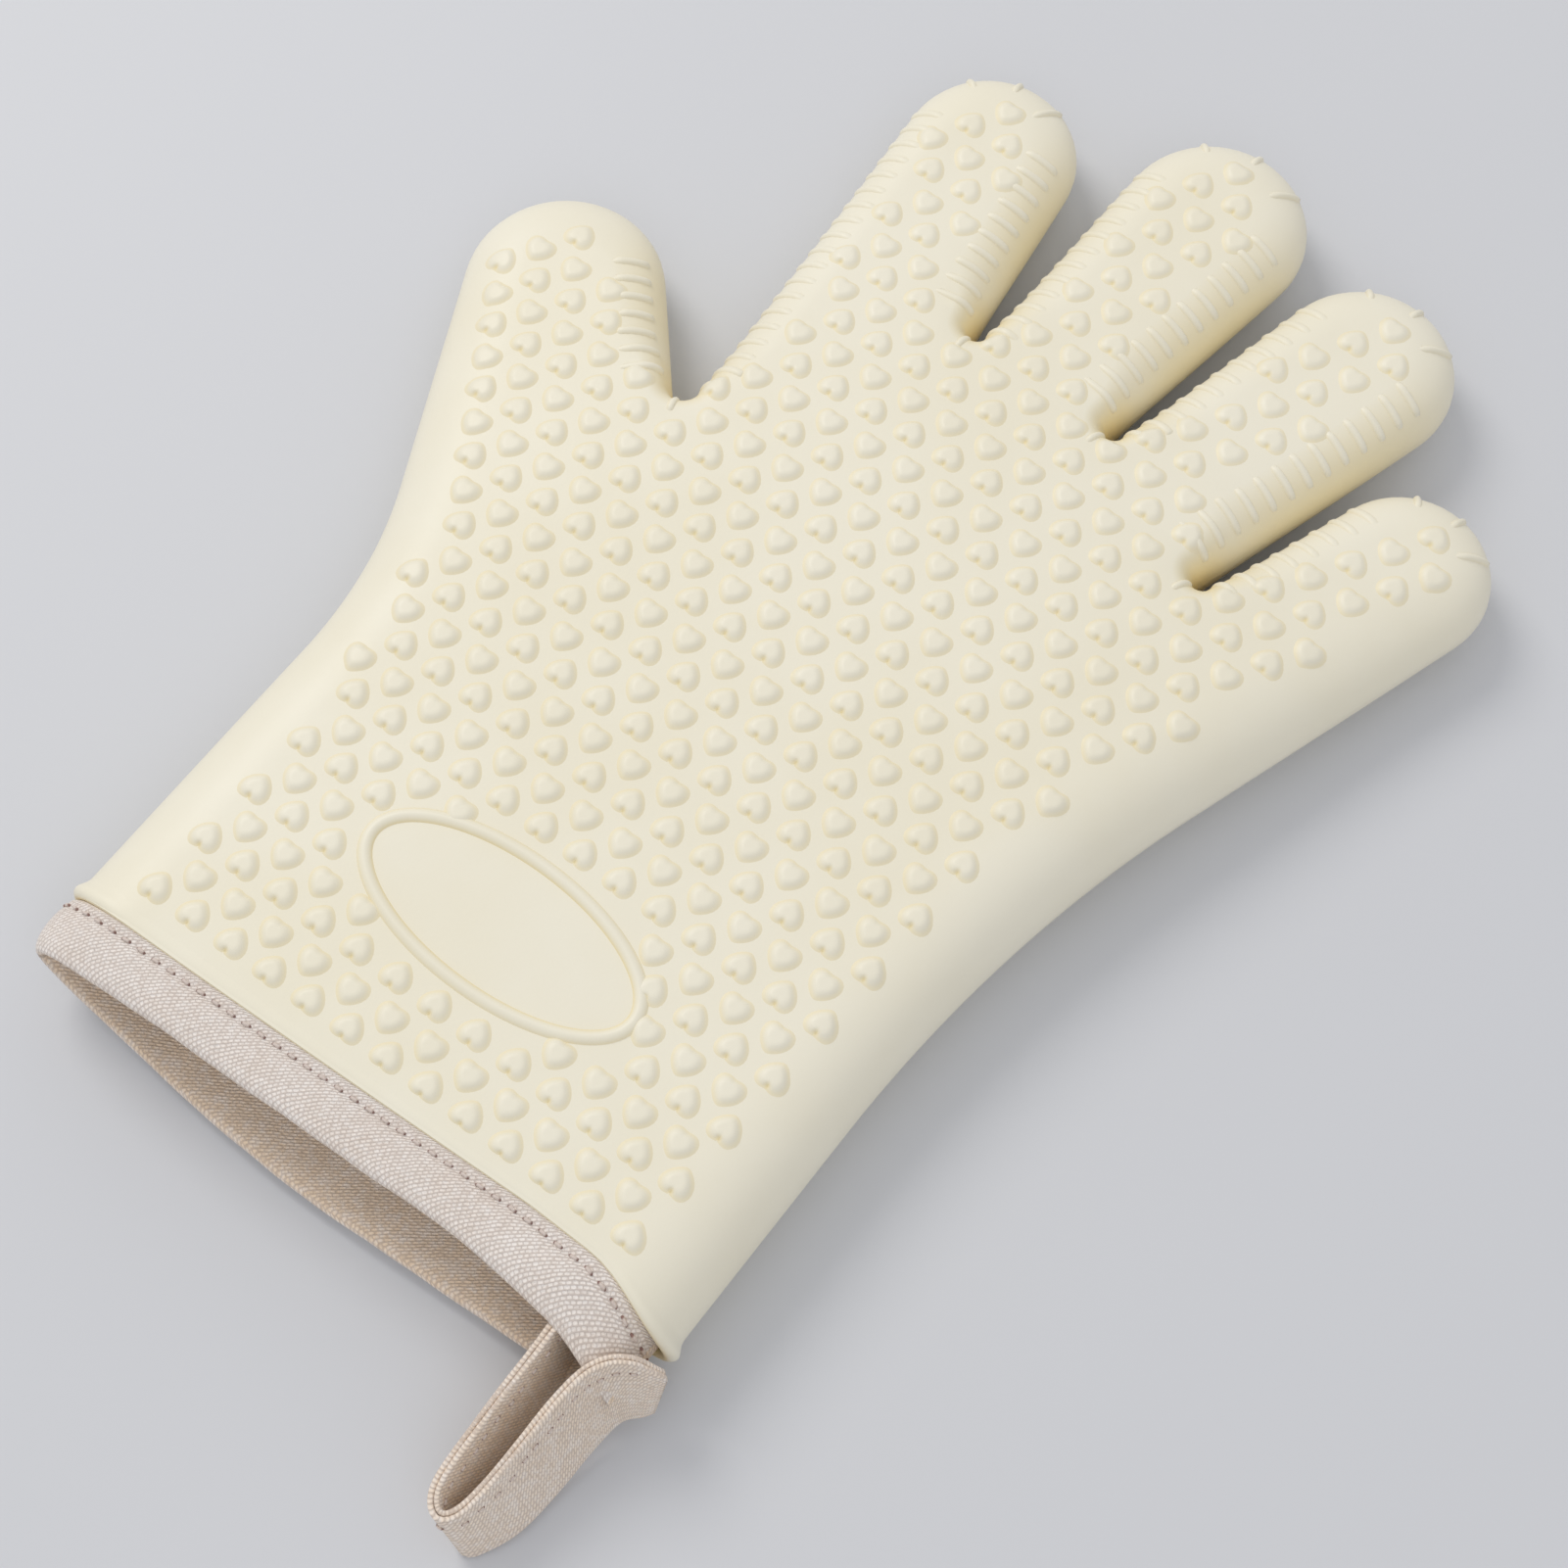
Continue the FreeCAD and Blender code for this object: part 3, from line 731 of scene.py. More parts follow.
def rib_form(along, foot, reach, width, rise):
    """Raised bar across a rolled side, from a turn low on the side to a reach from the outline."""
    place, inward, roll = SKIN.at(along)
    beside = np.array((inward[1], -inward[0]))
    path = []
    head = math.acos(max(0.0, 1 - reach / roll))
    for turn in np.linspace(foot, head, RIB_ROWS):
        lift = np.array((-math.cos(turn) / roll, math.sin(turn) / SKIN_HALF))
        path.append((roll * (1 - math.cos(turn)), SKIN_HALF * math.sin(turn), lift / np.linalg.norm(lift)))
    if reach > roll + 0.5:
        flat = np.linspace(roll, reach, 3)[1:]
        path += [(inner, SKIN_HALF, np.array((0.0, 1.0))) for inner in flat]
    rows = []
    sweep = np.linspace(0, math.pi, RIB_COLUMNS)
    for share, (inner, height, lift) in zip(np.linspace(-1, 1, len(path)), path):
        taper = math.sqrt(max(0.0, 1 - abs(share) ** 4))
        for angle in sweep:
            side = place + beside * width / 2 * (0.6 + 0.4 * taper) * math.cos(angle)
            up = rise * taper * math.sin(angle) ** 1.5 - RIB_SINK
            plan = side + inward * (inner + lift[0] * up)
            rows.append((*plan, height + lift[1] * up))
    # painted shade along both feet of the rib
    painted_shade = np.tile(0.22 * np.abs(np.cos(sweep)) ** 3, len(path))
    return Form(rows, grid_faces(len(path), len(sweep)), painted_shade)


def rib_stations():
    """Places round the outline for ribs and ticks: along, foot, reach, width and rise."""
    stations = []
    for number in range(len(FINGERS)):
        for run in (2 * number + 1, 2 * number + 2):
            if run in OUTER_RUNS:
                continue
            first, last = SKIN.stretch(run)
            up = run % 2 == 1
            begin, end = (first + RIB_CROTCH_GAP, last) if up else (first, last - RIB_CROTCH_GAP)
            foot, reach = (FAR_RIB_FOOT, FAR_RIB_REACH) if up else (RIB_FOOT, RIB_REACH)
            rise = FAR_RIB_RISE if up else RIB_RISE
            for place in np.linspace(begin, end, round((end - begin) / RIB_PITCH) + 1):
                stations.append((place, foot, reach, RIB_WIDTH, rise))
        if number:
            first, last = SKIN.stretch(FIRST_ROUND + 1 + 2 * number)
            for share, reach in TIP_TICKS:
                place = first + (last - first) * share
                stations.append((place, TICK_FOOT, reach, TIP_TICK_SHARE * RIB_WIDTH, RIB_RISE))
    width, rise = CROTCH_TICK_SHARE * RIB_WIDTH, CROTCH_TICK_SHARE * RIB_RISE
    for crotch in CROTCH_ROUNDS:
        place = sum(SKIN.stretch(crotch)) / 2
        stations.append((place, RIB_FOOT, CROTCH_TICK_REACH, width, rise))
    return stations


def rib_forms():
    """Ribs down both sides of the fingers and ticks round the tips, on one face."""
    return sorted_to_parts([rib_form(*station) for station in rib_stations()])


# ---- oval name place ----

def oval_form():
    """Raised smooth ridge round the bare oval."""
    points, painted_shade = [], []
    for share in np.linspace(-1, 1, OVAL_ROWS):
        for number in range(OVAL_STEPS):
            angle = 2 * math.pi * number / OVAL_STEPS
            out = np.array((math.cos(angle) / OVAL_HALF[0], math.sin(angle) / OVAL_HALF[1]))
            out /= np.linalg.norm(out)
            middle = np.array((OVAL_HALF[0] * math.cos(angle), OVAL_HALF[1] * math.sin(angle)))
            plan = np.array(OVAL_MIDDLE) + middle + out * share * OVAL_RIDGE / 2
            rise = OVAL_RISE * math.cos(share * math.pi / 2) ** 0.8 - OVAL_SINK
            points.append((*plan, SKIN_HALF + rise))
            # painted shade along both feet of the ridge, deeper on its inner side
            painted_shade.append((0.95 if share < 0 else 0.5) * abs(share) ** 3)
    faces = [face[::-1] for face in grid_faces(OVAL_ROWS, OVAL_STEPS, True)]
    return Form(points, faces, painted_shade)


# ---- cuff: sections swept along the cuff ----

def cuff_section(half_width, half_height, roll):
    """Closed section of the cuff with rolled sides, from the thumb side over the top."""
    turns = np.linspace(0, math.pi / 2, CUFF_TURNS)
    flat = np.linspace(-(half_width - roll), half_width - roll, CUFF_FLAT)[1:-1]
    left = [(-half_width + roll * (1 - math.cos(t)), half_height * math.sin(t)) for t in turns]
    top = left + [(x, half_height) for x in flat] + [(-x, z) for x, z in left[::-1]]
    bottom = [(-x, -z) for x, z in top[1:-1]]
    return np.array(top + bottom)


def swept_cuff(stations, half_width, half_height, wave=None, little_share=1.0):
    """Sweep sections along the cuff; each station is (along, out, up, roll)."""
    points, uv = [], []
    travelled = 0.0
    last = None
    for along, out, up, roll in stations:
        section = cuff_section(half_width + out, half_height + up, roll)
        section[section[:, 0] > 0, 0] *= (half_width + out * little_share) / (half_width + out)
        around = distances(section)
        row = np.c_[section[:, 0], np.full(len(section), along), section[:, 1]]
        if wave is not None:
            row = wave(row, around)
        if last is not None:
            travelled += np.hypot(along - last[0], up - last[1])
        last = (along, up)
        points.append(row)
        uv.append(np.c_[around, np.full(len(section), travelled)])
    count = len(points[0])
    form = Form(np.concatenate(points), grid_faces(len(points), count, True))
    return form, np.concatenate(uv), count


def smooth_through(knots, count):
    """Catmull-Rom curve through knots, as count evenly spread points."""
    knots = np.array(knots, float)
    ends = np.concatenate(([2 * knots[0] - knots[1]], knots, [2 * knots[-1] - knots[-2]]))
    fine = []
    for i in range(1, len(ends) - 2):
        p0, p1, p2, p3 = ends[i - 1:i + 3]
        for t in np.arange(12) / 12:
            fine.append(0.5 * (2 * p1 + (p2 - p0) * t + (2 * p0 - 5 * p1 + 4 * p2 - p3) * t * t
                               + (3 * p1 - p0 - 3 * p2 + p3) * t ** 3))
    fine.append(knots[-1])
    fine = np.array(fine)
    length = distances(fine)
    return point_at(np.linspace(0, length[-1], count), length, fine)


def lip_form():
    """Soft silicone lip round the cuff edge, as a palm half and a back half."""
    stations = [(*place, OUTER_ROLL) for place in smooth_through(LIP_KNOTS, LIP_ROWS)]
    form, _, count = swept_cuff(stations, CUFF_WIDTH / 2.0, SKIN_HALF)
    form.faces = [face[::-1] for face in form.faces]
    # painted shade under the lip, where it turns down towards the cloth
    shade_depth = np.array([max(0.0, -up - 0.10) * 1.8 for _, _, up, _ in stations])
    form.painted_shade = np.repeat(np.clip(shade_depth, 0, 1), count)
    top = count // 2 + 1
    keep_top, keep_bottom = [], []
    for face in form.faces:
        columns = [corner % count for corner in face]
        if max(columns) < top and max(columns) - min(columns) <= 1:
            keep_top.append(face)
        else:
            keep_bottom.append(face)
    return packed(form, keep_top), packed(form, keep_bottom)


def band_wave(row, around):
    """Soft unevenness of the sewn cloth, with small puckers at the stitch row."""
    along = row[0, 1]
    pucker = PUCKER_RISE * math.exp(-((along + STITCH_INSET) / PUCKER_SPREAD) ** 2)
    soft = CLOTH_WAVE * np.clip(-along / BAND_SHOWN, 0, 1)
    lift = pucker * np.cos(2 * math.pi * row[:, 0] / STITCH_PITCH)
    lift += soft * (np.sin(around * 0.21 + 0.6) + 0.6 * np.sin(around * 0.47 + along * 0.2))
    row = row.copy()
    row[:, 2] += lift * np.sign(row[:, 2]) * np.clip(np.abs(row[:, 2]) / 4.0, 0, 1)
    return row


def band_form():
    """Folded cotton band: outer ply, soft fold at the mouth and inner ply."""
    stations = smooth_through(BAND_KNOTS, BAND_ROWS)
    form, uv, count = swept_cuff(stations, BAND_HALF_WIDTH, BAND_HALF_HEIGHT, band_wave, LITTLE_SHARE)
    # painted warm shade on the inner ply, past the fold
    painted_inner_shade = smooth_step(-stations[:, 2], 0.2, 1.7)
    form.painted_shade = np.repeat(painted_inner_shade * (np.arange(BAND_ROWS) > BAND_ROWS / 4), count)
    return form, uv


def stitch_form(middle, along, lift, length, width):
    """Short sewn thread, arched out of the cloth and dipping into it at both ends."""
    along = along / np.linalg.norm(along)
    lift = lift / np.linalg.norm(lift)
    beside = np.cross(along, lift)
    rows = []
    stations = np.linspace(-1, 1, STITCH_ROWS)
    for share in stations:
        arch = width * 0.55 * (1 - share ** 4) - width * 0.35 * share ** 8
        thick = width / 2 * (0.55 + 0.45 * math.sqrt(1 - min(share * share, 0.98)))
        for number in range(STITCH_SIDES):
            angle = 2 * math.pi * number / STITCH_SIDES
            rows.append(middle + along * share * length / 2 + lift * (arch - width * 0.3)
                        + (beside * math.cos(angle) + lift * math.sin(angle)) * thick)
    faces = grid_faces(STITCH_ROWS, STITCH_SIDES, True) + end_faces(len(rows), STITCH_SIDES)
    # painted shade grows towards both ends, where the thread dips into the cloth
    return Form(rows, faces, np.repeat(np.abs(stations) ** 2, STITCH_SIDES))


def band_stitch_forms():
    """Row of stitches on both faces of the band, and round the rolled sides."""
    out, up = BAND_SWELL
    section = cuff_section(BAND_HALF_WIDTH + out, BAND_HALF_HEIGHT + up, STITCH_ROLL)
    shrink = (BAND_HALF_WIDTH + out * LITTLE_SHARE) / (BAND_HALF_WIDTH + out)
    section[section[:, 0] > 0, 0] *= shrink
    loop = np.concatenate((section, section[:1]))
    steps = distances(loop)
    count = int(steps[-1] / STITCH_PITCH)
    forms = []
    for number in range(count):
        at = (number + 0.5) * steps[-1] / count
        ahead = min(at + 0.5, steps[-1])
        place, on = point_at(at, steps, loop), point_at(ahead, steps, loop)
        direction = (on - place) / np.linalg.norm(on - place)
        lift = np.array((-direction[1], 0, direction[0]))
        middle = np.array((place[0], -STITCH_INSET, place[1])) + lift * STITCH_STAND
        lean = STITCH_LEAN * math.sin(number * 2.4)
        along = np.array((direction[0], lean, direction[1]))
        forms.append(stitch_form(middle, along, lift, STITCH_LENGTH, STITCH_WIDTH))
    return forms


# ---- hanging loop ----

# Upper and lower edge of the tape, from inside the mouth round to the outer corner:
# across, along and height above the surface that the glove lies on.
TAPE_UPPER = [
    (51.3, 3.0, 20.2), (52.2, -6.0, 20.5), (52.5, -14.3, 20.0), (52.4, -28.8, 18.0),
    (52.7, -40.4, 16.0), (54.2, -44.8, 15.4), (56.8, -46.2, 15.2), (58.9, -43.8, 15.4),
    (59.9, -38.0, 16.2), (60.4, -28.6, 17.8), (60.8, -19.0, 19.8), (61.9, -12.3, 21.4),
    (64.4, -8.2, 22.6), (67.8, -5.6, 22.2), (71.0, -4.3, 19.6), (73.0, -3.4, 16.8),
]
TAPE_LOWER = [
    (53.5, 2.0, 6.0), (55.6, -7.0, 5.6), (56.9, -15.3, 4.8), (57.5, -28.8, 2.8),
    (58.2, -40.4, 1.0), (59.6, -45.6, 0.5), (62.2, -47.2, 0.4), (64.2, -44.8, 0.5),
    (66.8, -38.8, 1.2), (68.0, -29.6, 2.0), (68.4, -21.4, 3.6), (69.0, -16.4, 5.0),
    (69.7, -13.4, 5.8), (70.7, -11.6, 6.0), (72.0, -10.0, 5.4), (73.0, -8.0, 4.8),
]


def tape_rows():
    """Evenly spread upper and lower edges of the tape."""
    both = smooth_through(np.c_[TAPE_UPPER, TAPE_LOWER], TAPE_ROWS)
    return both[:, :3] - (0, 0, MIDDLE), both[:, 3:] - (0, 0, MIDDLE)


def tape_frames():
    """Each row's upper edge, its ways ahead, down and out, and its width."""
    upper, lower = tape_rows()
    ahead = np.gradient((upper + lower) / 2, axis=0)
    ahead /= np.linalg.norm(ahead, axis=1)[:, None]
    down = lower - upper
    wide = np.linalg.norm(down, axis=1)[:, None]
    down = down / wide
    out = np.cross(ahead, down)
    out /= np.linalg.norm(out, axis=1)[:, None]
    return upper, ahead, down, out, wide[:, 0]


def tape_form():
    """Two plies of cotton tape face to face, with rounded sewn edges."""
    upper, _, down, out, wide = tape_frames()
    towards = np.sum(out * (upper.mean(axis=0) - upper), axis=1).mean()
    inside = 1 if towards > 0 else -1
    forms, uvs = [], []
    for side in (-1, 1):
        turns = np.linspace(0, math.pi / 2, 4)
        edge = [(TAPE_EDGE - TAPE_EDGE * math.cos(a), 0.5 * math.sin(a)) for a in turns]
        body = np.linspace(TAPE_EDGE, TAPE_WIDTH - TAPE_EDGE, 9)[1:-1]
        face_out = edge + [(x, 0.5) for x in body] + [(TAPE_WIDTH - x, y) for x, y in edge[::-1]]
        profile = face_out + [(x, -y) for x, y in face_out[::-1][1:-1]]
        points, uv = [], []
        travelled = 0.0
        for number in range(len(upper)):
            if number:
                travelled += np.linalg.norm(upper[number] - upper[number - 1])
            for reach, thick in profile:
                swell = 1.0 + 0.08 * math.sin(number * 0.31 + side)
                place = upper[number] + down[number] * reach * wide[number] / TAPE_WIDTH
                place = place + out[number] * (side * TAPE_PLY * 0.53 + thick * TAPE_PLY * swell)
                points.append(place)
                uv.append((reach + PLY_WEAVE[1] * side + PLY_WEAVE[0], travelled))
        count = len(profile)
        faces = grid_faces(len(upper), count, True) + end_faces(len(points), count)
        # painted warm shade over the whole tape, deepest on the faces inside the loop
        painted_inner_shade = [0.55 + 0.45 * (side == inside and inside * y > 0) * min(1.0, x / 2.0)
                  for x, y in profile]
        forms.append(Form(points, faces, np.tile(painted_inner_shade, len(upper))))
        uvs.append(np.array(uv))
    return joined(forms), np.concatenate(uvs)


def tape_stitch_forms():
    """Stitches along the tape on its two outer faces, near the upper edge."""
    upper, ahead, down, out, _ = tape_frames()
    length = distances(upper)
    count = int((length[-1] - TAPE_STITCH_BARE) / STITCH_PITCH)
    forms = []
    for step in range(count):
        at = TAPE_STITCH_START + step * STITCH_PITCH
        number = int(np.searchsorted(length, at))
        for side in (-1, 1):
            middle = upper[number] + down[number] * (TAPE_STITCH_INSET + 0.35 * math.sin(step * 1.7))
            middle = middle + out[number] * side * (TAPE_PLY * 1.03)
            forms.append(stitch_form(middle, ahead[number], out[number] * side, *TAPE_STITCH_SIZE))
    return forms


# ---- materials ----

class Val:
    """A number socket whose operators add Math nodes."""

    def __init__(self, finish, socket):
        self.finish, self.socket = finish, socket

    def math(self, operation, *others, swap=False):
        values = [self] + list(others)
        if swap:
            values.reverse()
        return self.finish.math(operation, *values)

    def __add__(self, other):
        return self.math("ADD", other)

    __radd__ = __add__

    def __mul__(self, other):
        return self.math("MULTIPLY", other)

    __rmul__ = __mul__

    def __sub__(self, other):
        return self.math("SUBTRACT", other)

    def __rsub__(self, other):
        return self.math("SUBTRACT", other, swap=True)

    def __pow__(self, other):
        return self.math("POWER", other)


class Finish:
    """A node material made with few words."""

    def __init__(self, name):
        self.material = bpy.data.materials.new(name)
        self.material.use_nodes = True
        self.tree = self.material.node_tree
        self.tree.nodes.clear()

    def node(self, kind, settings=(), **sockets):
        made = self.tree.nodes.new("ShaderNode" + kind)
        for name, value in dict(settings).items():
            setattr(made, name, value)
        for name, value in sockets.items():
            self.plug(made.inputs[name.replace("_", " ")], value)
        return made

    def plug(self, socket, value):
        if isinstance(value, Val):
            value = value.socket
        if isinstance(value, bpy.types.NodeSocket):
            self.tree.links.new(value, socket)
        else:
            socket.default_value = value

    def val(self, socket):
        return Val(self, socket)

    def math(self, operation, *values, clamp=False):
        made = self.node("Math", {"operation": operation, "use_clamp": clamp})
        for socket, value in zip(made.inputs, values):
            self.plug(socket, value)
        return self.val(made.outputs[0])

    def sine(self, value):
        return self.math("SINE", value)

    def clamp(self, value):
        return self.math("ADD", value, 0.0, clamp=True)

    def step(self, value, low, high):
        made = self.node("MapRange", {"interpolation_type": "SMOOTHSTEP"}, Value=value)
        made.inputs["From Min"].default_value = low
        made.inputs["From Max"].default_value = high
        return self.val(made.outputs["Result"])

    def mix(self, factor, first, second):
        """Mix of two colours; a Mix node's colour sockets have no names of their own."""
        made = self.node("Mix", {"data_type": "RGBA", "blend_type": "MIX"})
        self.plug(made.inputs[0], factor)
        self.plug(made.inputs[6], first)
        self.plug(made.inputs[7], second)
        return made.outputs[2]

    def place(self):
        """Where on its piece a spot lies, in metres."""
        return self.node("TexCoord").outputs["Object"]

    def noise(self, place, scale, detail):
        made = self.node("TexNoise", Vector=place, Scale=scale, Detail=detail, Roughness=0.55)
        return self.val(made.outputs["Fac"])

    def attribute(self, name):
        made = self.node("Attribute", {"attribute_name": name})
        return self.val(made.outputs["Fac"])

    def bump(self, height, strength, distance, normal=None):
        made = self.node("Bump", Height=height, Strength=strength, Distance=distance)
        if normal is not None:
            self.plug(made.inputs["Normal"], normal)
        return made.outputs["Normal"]

    def surface(self, **sockets):
        shader = self.node("BsdfPrincipled", **sockets)
        self.node("OutputMaterial", Surface=shader.outputs[0])
        return self.material


def silicone_finish():
    """Soft cream silicone rubber, satin, with painted warm yellow shade in its crevices."""
    f = Finish("cream_silicone")
    place = f.place()
    cloudy = f.noise(place, 26.0, 4.0)
    grain = f.noise(place, 1500.0, 3.0)
    handling = f.noise(place, 90.0, 5.0)
    painted_shade = f.clamp(f.attribute("painted_shade"))
    tone = f.mix(f.step(cloudy, 0.3, 0.7), (0.848, 0.789, 0.622, 1), (0.868, 0.816, 0.664, 1))
    # painted shade: warm yellow mixed in where the painted shade attribute is high
    tone = f.mix(painted_shade * 0.8, tone, (0.86, 0.70, 0.34, 1))
    rough = 0.36 + 0.10 * handling + 0.08 * grain
    normal = f.bump(grain, 0.10, 0.0002, f.bump(handling, 0.10, 0.0006))
    return f.surface(
        Base_Color=tone, Roughness=rough, Normal=normal, IOR=1.41, Specular_IOR_Level=0.5,
        Sheen_Weight=0.06, Sheen_Roughness=0.5,
    )


TWILL_LIGHT = (0.965, 0.885, 0.805, 1)
TWILL_DARK = (0.915, 0.815, 0.720, 1)
TWILL_PITCH = 0.66 * MM
TWILL_DEPTH = 0.32 * MM


def twill_finish():
    """Cotton twill: short floats of yarn in slanting rows, uneven and soft, with painted warm shade on its
    inner plies and painted shade between the floats.
    """
    f = Finish("cotton_twill")
    cloth = f.node("UVMap", {"uv_map": "cloth"}).outputs[0]
    place = f.place()
    split = f.node("SeparateXYZ", Vector=cloth)
    u, v = f.val(split.outputs[0]), f.val(split.outputs[1])
    wander = f.noise(place, 300.0, 2.0)
    row = (u * 0.61 + v * 0.79) * (1 / TWILL_PITCH) + wander * 0.9
    number = f.math("FLOOR", row)
    run = (u * 0.79 - v * 0.61) * (0.5 / TWILL_PITCH) + number * 0.41 + wander * 0.7
    across = f.sine(f.math("FRACT", row) * math.pi)
    along = f.sine(f.math("FRACT", run) * math.pi) ** 0.5
    uneven = f.noise(place, 1500.0, 3.0)
    height = across * along * (0.45 + 0.55 * f.step(uneven, 0.3, 0.7))
    slub = f.noise(place, 700.0, 4.0)
    soft = f.noise(place, 60.0, 3.0)
    fibre = f.noise(place, 4200.0, 2.0)
    # painted shade in the gaps between the yarn floats
    gap = 1 - f.step(height + (slub - 0.5) * 0.5, 0.12, 0.62)
    tone = f.mix(f.step(soft, 0.3, 0.7), TWILL_LIGHT, TWILL_DARK)
    # painted warm shade on the band's inner ply and over the loop tape, deepest inside the loop
    painted_inner_shade = f.clamp(f.attribute("painted_shade"))
    tone = f.mix(painted_inner_shade * 0.8, tone, (0.96, 0.735, 0.50, 1))
    tone = f.mix(f.step(slub, 0.4, 0.7) * 0.5, tone, (0.97, 0.92, 0.87, 1))
    # painted shade between the floats
    tone = f.mix(gap * 0.5, tone, (0.40, 0.305, 0.25, 1))
    tone = f.mix(f.step(fibre, 0.45, 0.75) * 0.2, tone, (0.52, 0.43, 0.37, 1))
    shape = height * 0.8 + slub * 0.7 + fibre * 0.25
    return f.surface(
        Base_Color=tone, Roughness=0.9, Normal=f.bump(shape, 0.7, TWILL_DEPTH), Specular_IOR_Level=0.2,
        Sheen_Weight=0.25, Sheen_Roughness=0.6,
    )


def thread_finish():
    """Spun sewing thread, with painted shade where it dips into its needle holes."""
    f = Finish("sewing_thread")
    place = f.place()
    ply = f.noise(place, 2600.0, 2.0)
    # painted shade at the stitch ends, where the thread dips into its holes
    hole_shade = f.step(f.attribute("painted_shade"), 0.2, 0.6)
    tone = f.mix(ply, (0.62, 0.50, 0.43, 1), (0.78, 0.69, 0.62, 1))
    tone = f.mix(hole_shade, tone, (0.25, 0.14, 0.115, 1))
    return f.surface(
        Base_Color=tone, Roughness=0.75, Normal=f.bump(ply, 0.5, 0.0001),
        Specular_IOR_Level=0.3, Sheen_Weight=0.2,
    )


def lining_finish():
    """Brushed cotton lining."""
    f = Finish("brushed_cotton")
    place = f.place()
    nap = f.noise(place, 900.0, 5.0)
    patch = f.noise(place, 60.0, 3.0)
    tone = f.mix(f.step(patch, 0.3, 0.7), (0.66, 0.58, 0.47, 1), (0.72, 0.65, 0.55, 1))
    tone = f.mix(f.step(nap, 0.5, 0.8) * 0.4, tone, (0.45, 0.38, 0.30, 1))
    return f.surface(
        Base_Color=tone, Roughness=0.95, Normal=f.bump(nap, 0.6, 0.0005),
        Specular_IOR_Level=0.15, Sheen_Weight=0.3,
    )


# ---- the glove's pieces ----

def knuckle_blend(piece):
    """Bake a finger piece's placement into its mesh."""
    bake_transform(piece)


def make_skin(silicone):
    skin = cut_at_knuckles(upper_layer(Outline(), SKIN_HALF, *SKIN_FINENESS))
    hearts = heart_forms()
    ribs = rib_forms()
    lip_top, lip_bottom = lip_form()
    oval = oval_form()
    upper = {part: joined([skin[part]] + hearts[part] + ribs[part]) for part in skin}
    palm = joined([upper["hand"], oval, lip_top])
    back = joined([upper["hand"].turned_over(), oval.turned_over(), lip_bottom])
    for name, form in (("skin_palm", palm), ("skin_back", back)):
        piece = make_piece(name, form, silicone)
        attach(piece, "hand")
        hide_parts("glove_hand")
    for finger in FINGERS:
        form = joined([upper[finger], upper[finger].turned_over()])
        piece = make_piece("skin_" + finger, form, silicone)
        weld(piece)
        knuckle_blend(piece)
        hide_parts("glove_" + finger)


def weld(piece):
    """Join the two faces of a finger along its parting line."""
    shape = bmesh.new()
    shape.from_mesh(piece.data)
    rim = [vert for vert in shape.verts if any(edge.is_boundary for edge in vert.link_edges)]
    bmesh.ops.remove_doubles(shape, verts=rim, dist=2e-6)
    shape.to_mesh(piece.data)
    shape.free()


def make_lining(cotton):
    outline = Outline(LINING_INSET, LINING_START, LINING_STEP)
    parts = cut_at_knuckles(upper_layer(outline, MIDDLE - LINING_INSET, *LINING_FINENESS))
    for part, form in parts.items():
        for face, shape in (("palm", form), ("back", form.turned_over())):
            piece = make_piece(f"lining_ply_{face}_{part}", shape, cotton)
            if part == "hand":
                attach(piece, "hand")
            else:
                knuckle_blend(piece)
            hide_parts(f"lining_{face}_{part}")
            "skin_" + ("palm" if part == "hand" else part)


def make_band(cotton, thread):
    form, uv = band_form()
    band = make_piece("cotton_band", form, cotton, uv)
    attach(band, "hand")
    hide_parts("cuff_band")
    stitches = make_piece("band_stitching", joined(band_stitch_forms()), thread)
    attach(stitches, "hand")
    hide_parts("cuff_stitches")


def tape_blend(piece):
    """Bake a loop piece's placement into its mesh."""
    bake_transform(piece)


def make_loop(cotton, thread):
    form, uv = tape_form()
    tape = make_piece("loop_tape", form, cotton, uv, hung=True)
    stitches = make_piece("loop_stitching", joined(tape_stitch_forms()), thread, hung=True)
    tape_blend(tape)
    tape_blend(stitches)
    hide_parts("hanging_loop", "loop_ends")
    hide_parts("loop_stitches")
    upper = tape_rows()[0]


# ---- floor, lamps and camera ----

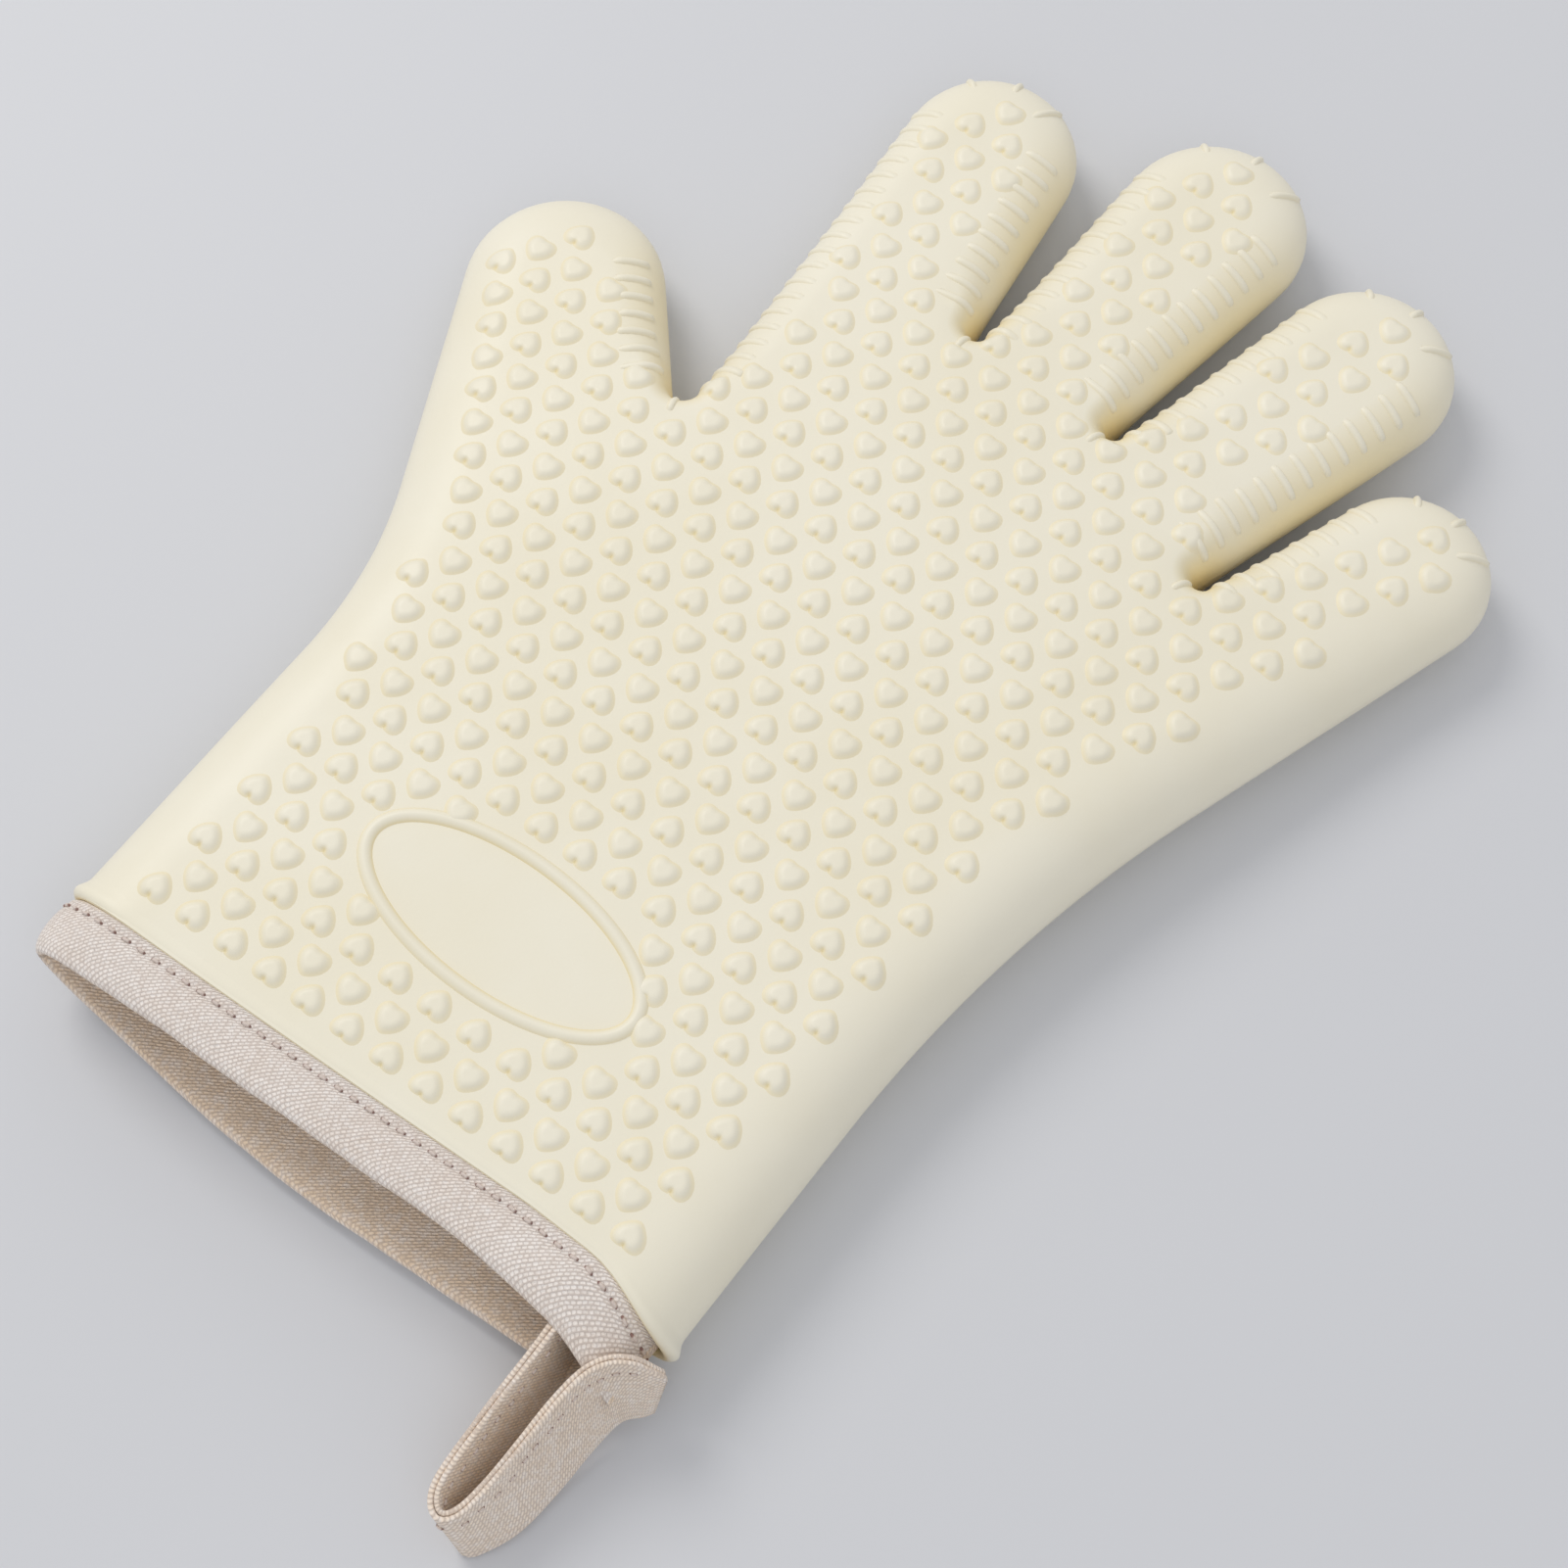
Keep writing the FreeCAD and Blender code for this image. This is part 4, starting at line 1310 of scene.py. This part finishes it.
def floor_finish():
    f = Finish("pale_floor")
    place = f.place()
    cloud = f.noise(place, 3.0, 3.0)
    tone = f.mix(cloud, (0.635, 0.638, 0.652, 1), (0.668, 0.671, 0.682, 1))
    return f.surface(Base_Color=tone, Roughness=0.55, Specular_IOR_Level=0.3)


def make_floor():
    mesh = bpy.data.meshes.new("floor")
    reach = 3.0
    corners = [(-reach, -reach, 0), (reach, -reach, 0), (reach, reach, 0), (-reach, reach, 0)]
    mesh.from_pydata(corners, [], [(0, 1, 2, 3)])
    mesh.materials.append(floor_finish())
    floor = bpy.data.objects.new("floor", mesh)
    bpy.context.collection.objects.link(floor)


def aim(thing, place, target):
    thing.location = place
    thing.rotation_euler = (Vector(target) - Vector(place)).to_track_quat("-Z", "Y").to_euler()
    bpy.context.collection.objects.link(thing)


def make_lamp(name, place, size, power, colour):
    lamp = bpy.data.lights.new(name, "AREA")
    lamp.shape = "DISK"
    lamp.size = size
    lamp.energy = power
    lamp.color = colour
    aim(bpy.data.objects.new(name, lamp), place, (0, 0, 0))


def make_studio():
    make_lamp("key", (-1.15, 0.35, 1.25), 0.85, 11.0, (1.0, 0.985, 0.96))
    make_lamp("fill", (0.9, -0.9, 1.6), 1.6, 4.0, (0.95, 0.97, 1.0))
    world = bpy.data.worlds.new("studio")
    world.use_nodes = True
    background = world.node_tree.nodes["Background"]
    background.inputs["Color"].default_value = (0.94, 0.955, 1.0, 1)
    background.inputs["Strength"].default_value = 0.66
    bpy.context.scene.world = world
    bpy.context.scene.view_settings.view_transform = "Standard"


def make_camera():
    camera = bpy.data.cameras.new("camera")
    camera.lens = 67.46
    camera.sensor_width = 36.0
    camera.clip_start = 0.05
    target = Vector((0.0164, 0.0090, 0.0))
    place = target + Vector((0.1377, -0.1788, 0.5320))
    viewer = bpy.data.objects.new("camera", camera)
    aim(viewer, place, target)
    bpy.context.scene.camera = viewer


def main():
    silicone = silicone_finish()
    twill = twill_finish()
    thread = thread_finish()
    make_skin(silicone)
    make_lining(lining_finish())
    make_band(twill, thread)
    make_loop(twill, thread)
    make_floor()
    make_studio()
    make_camera()


main()
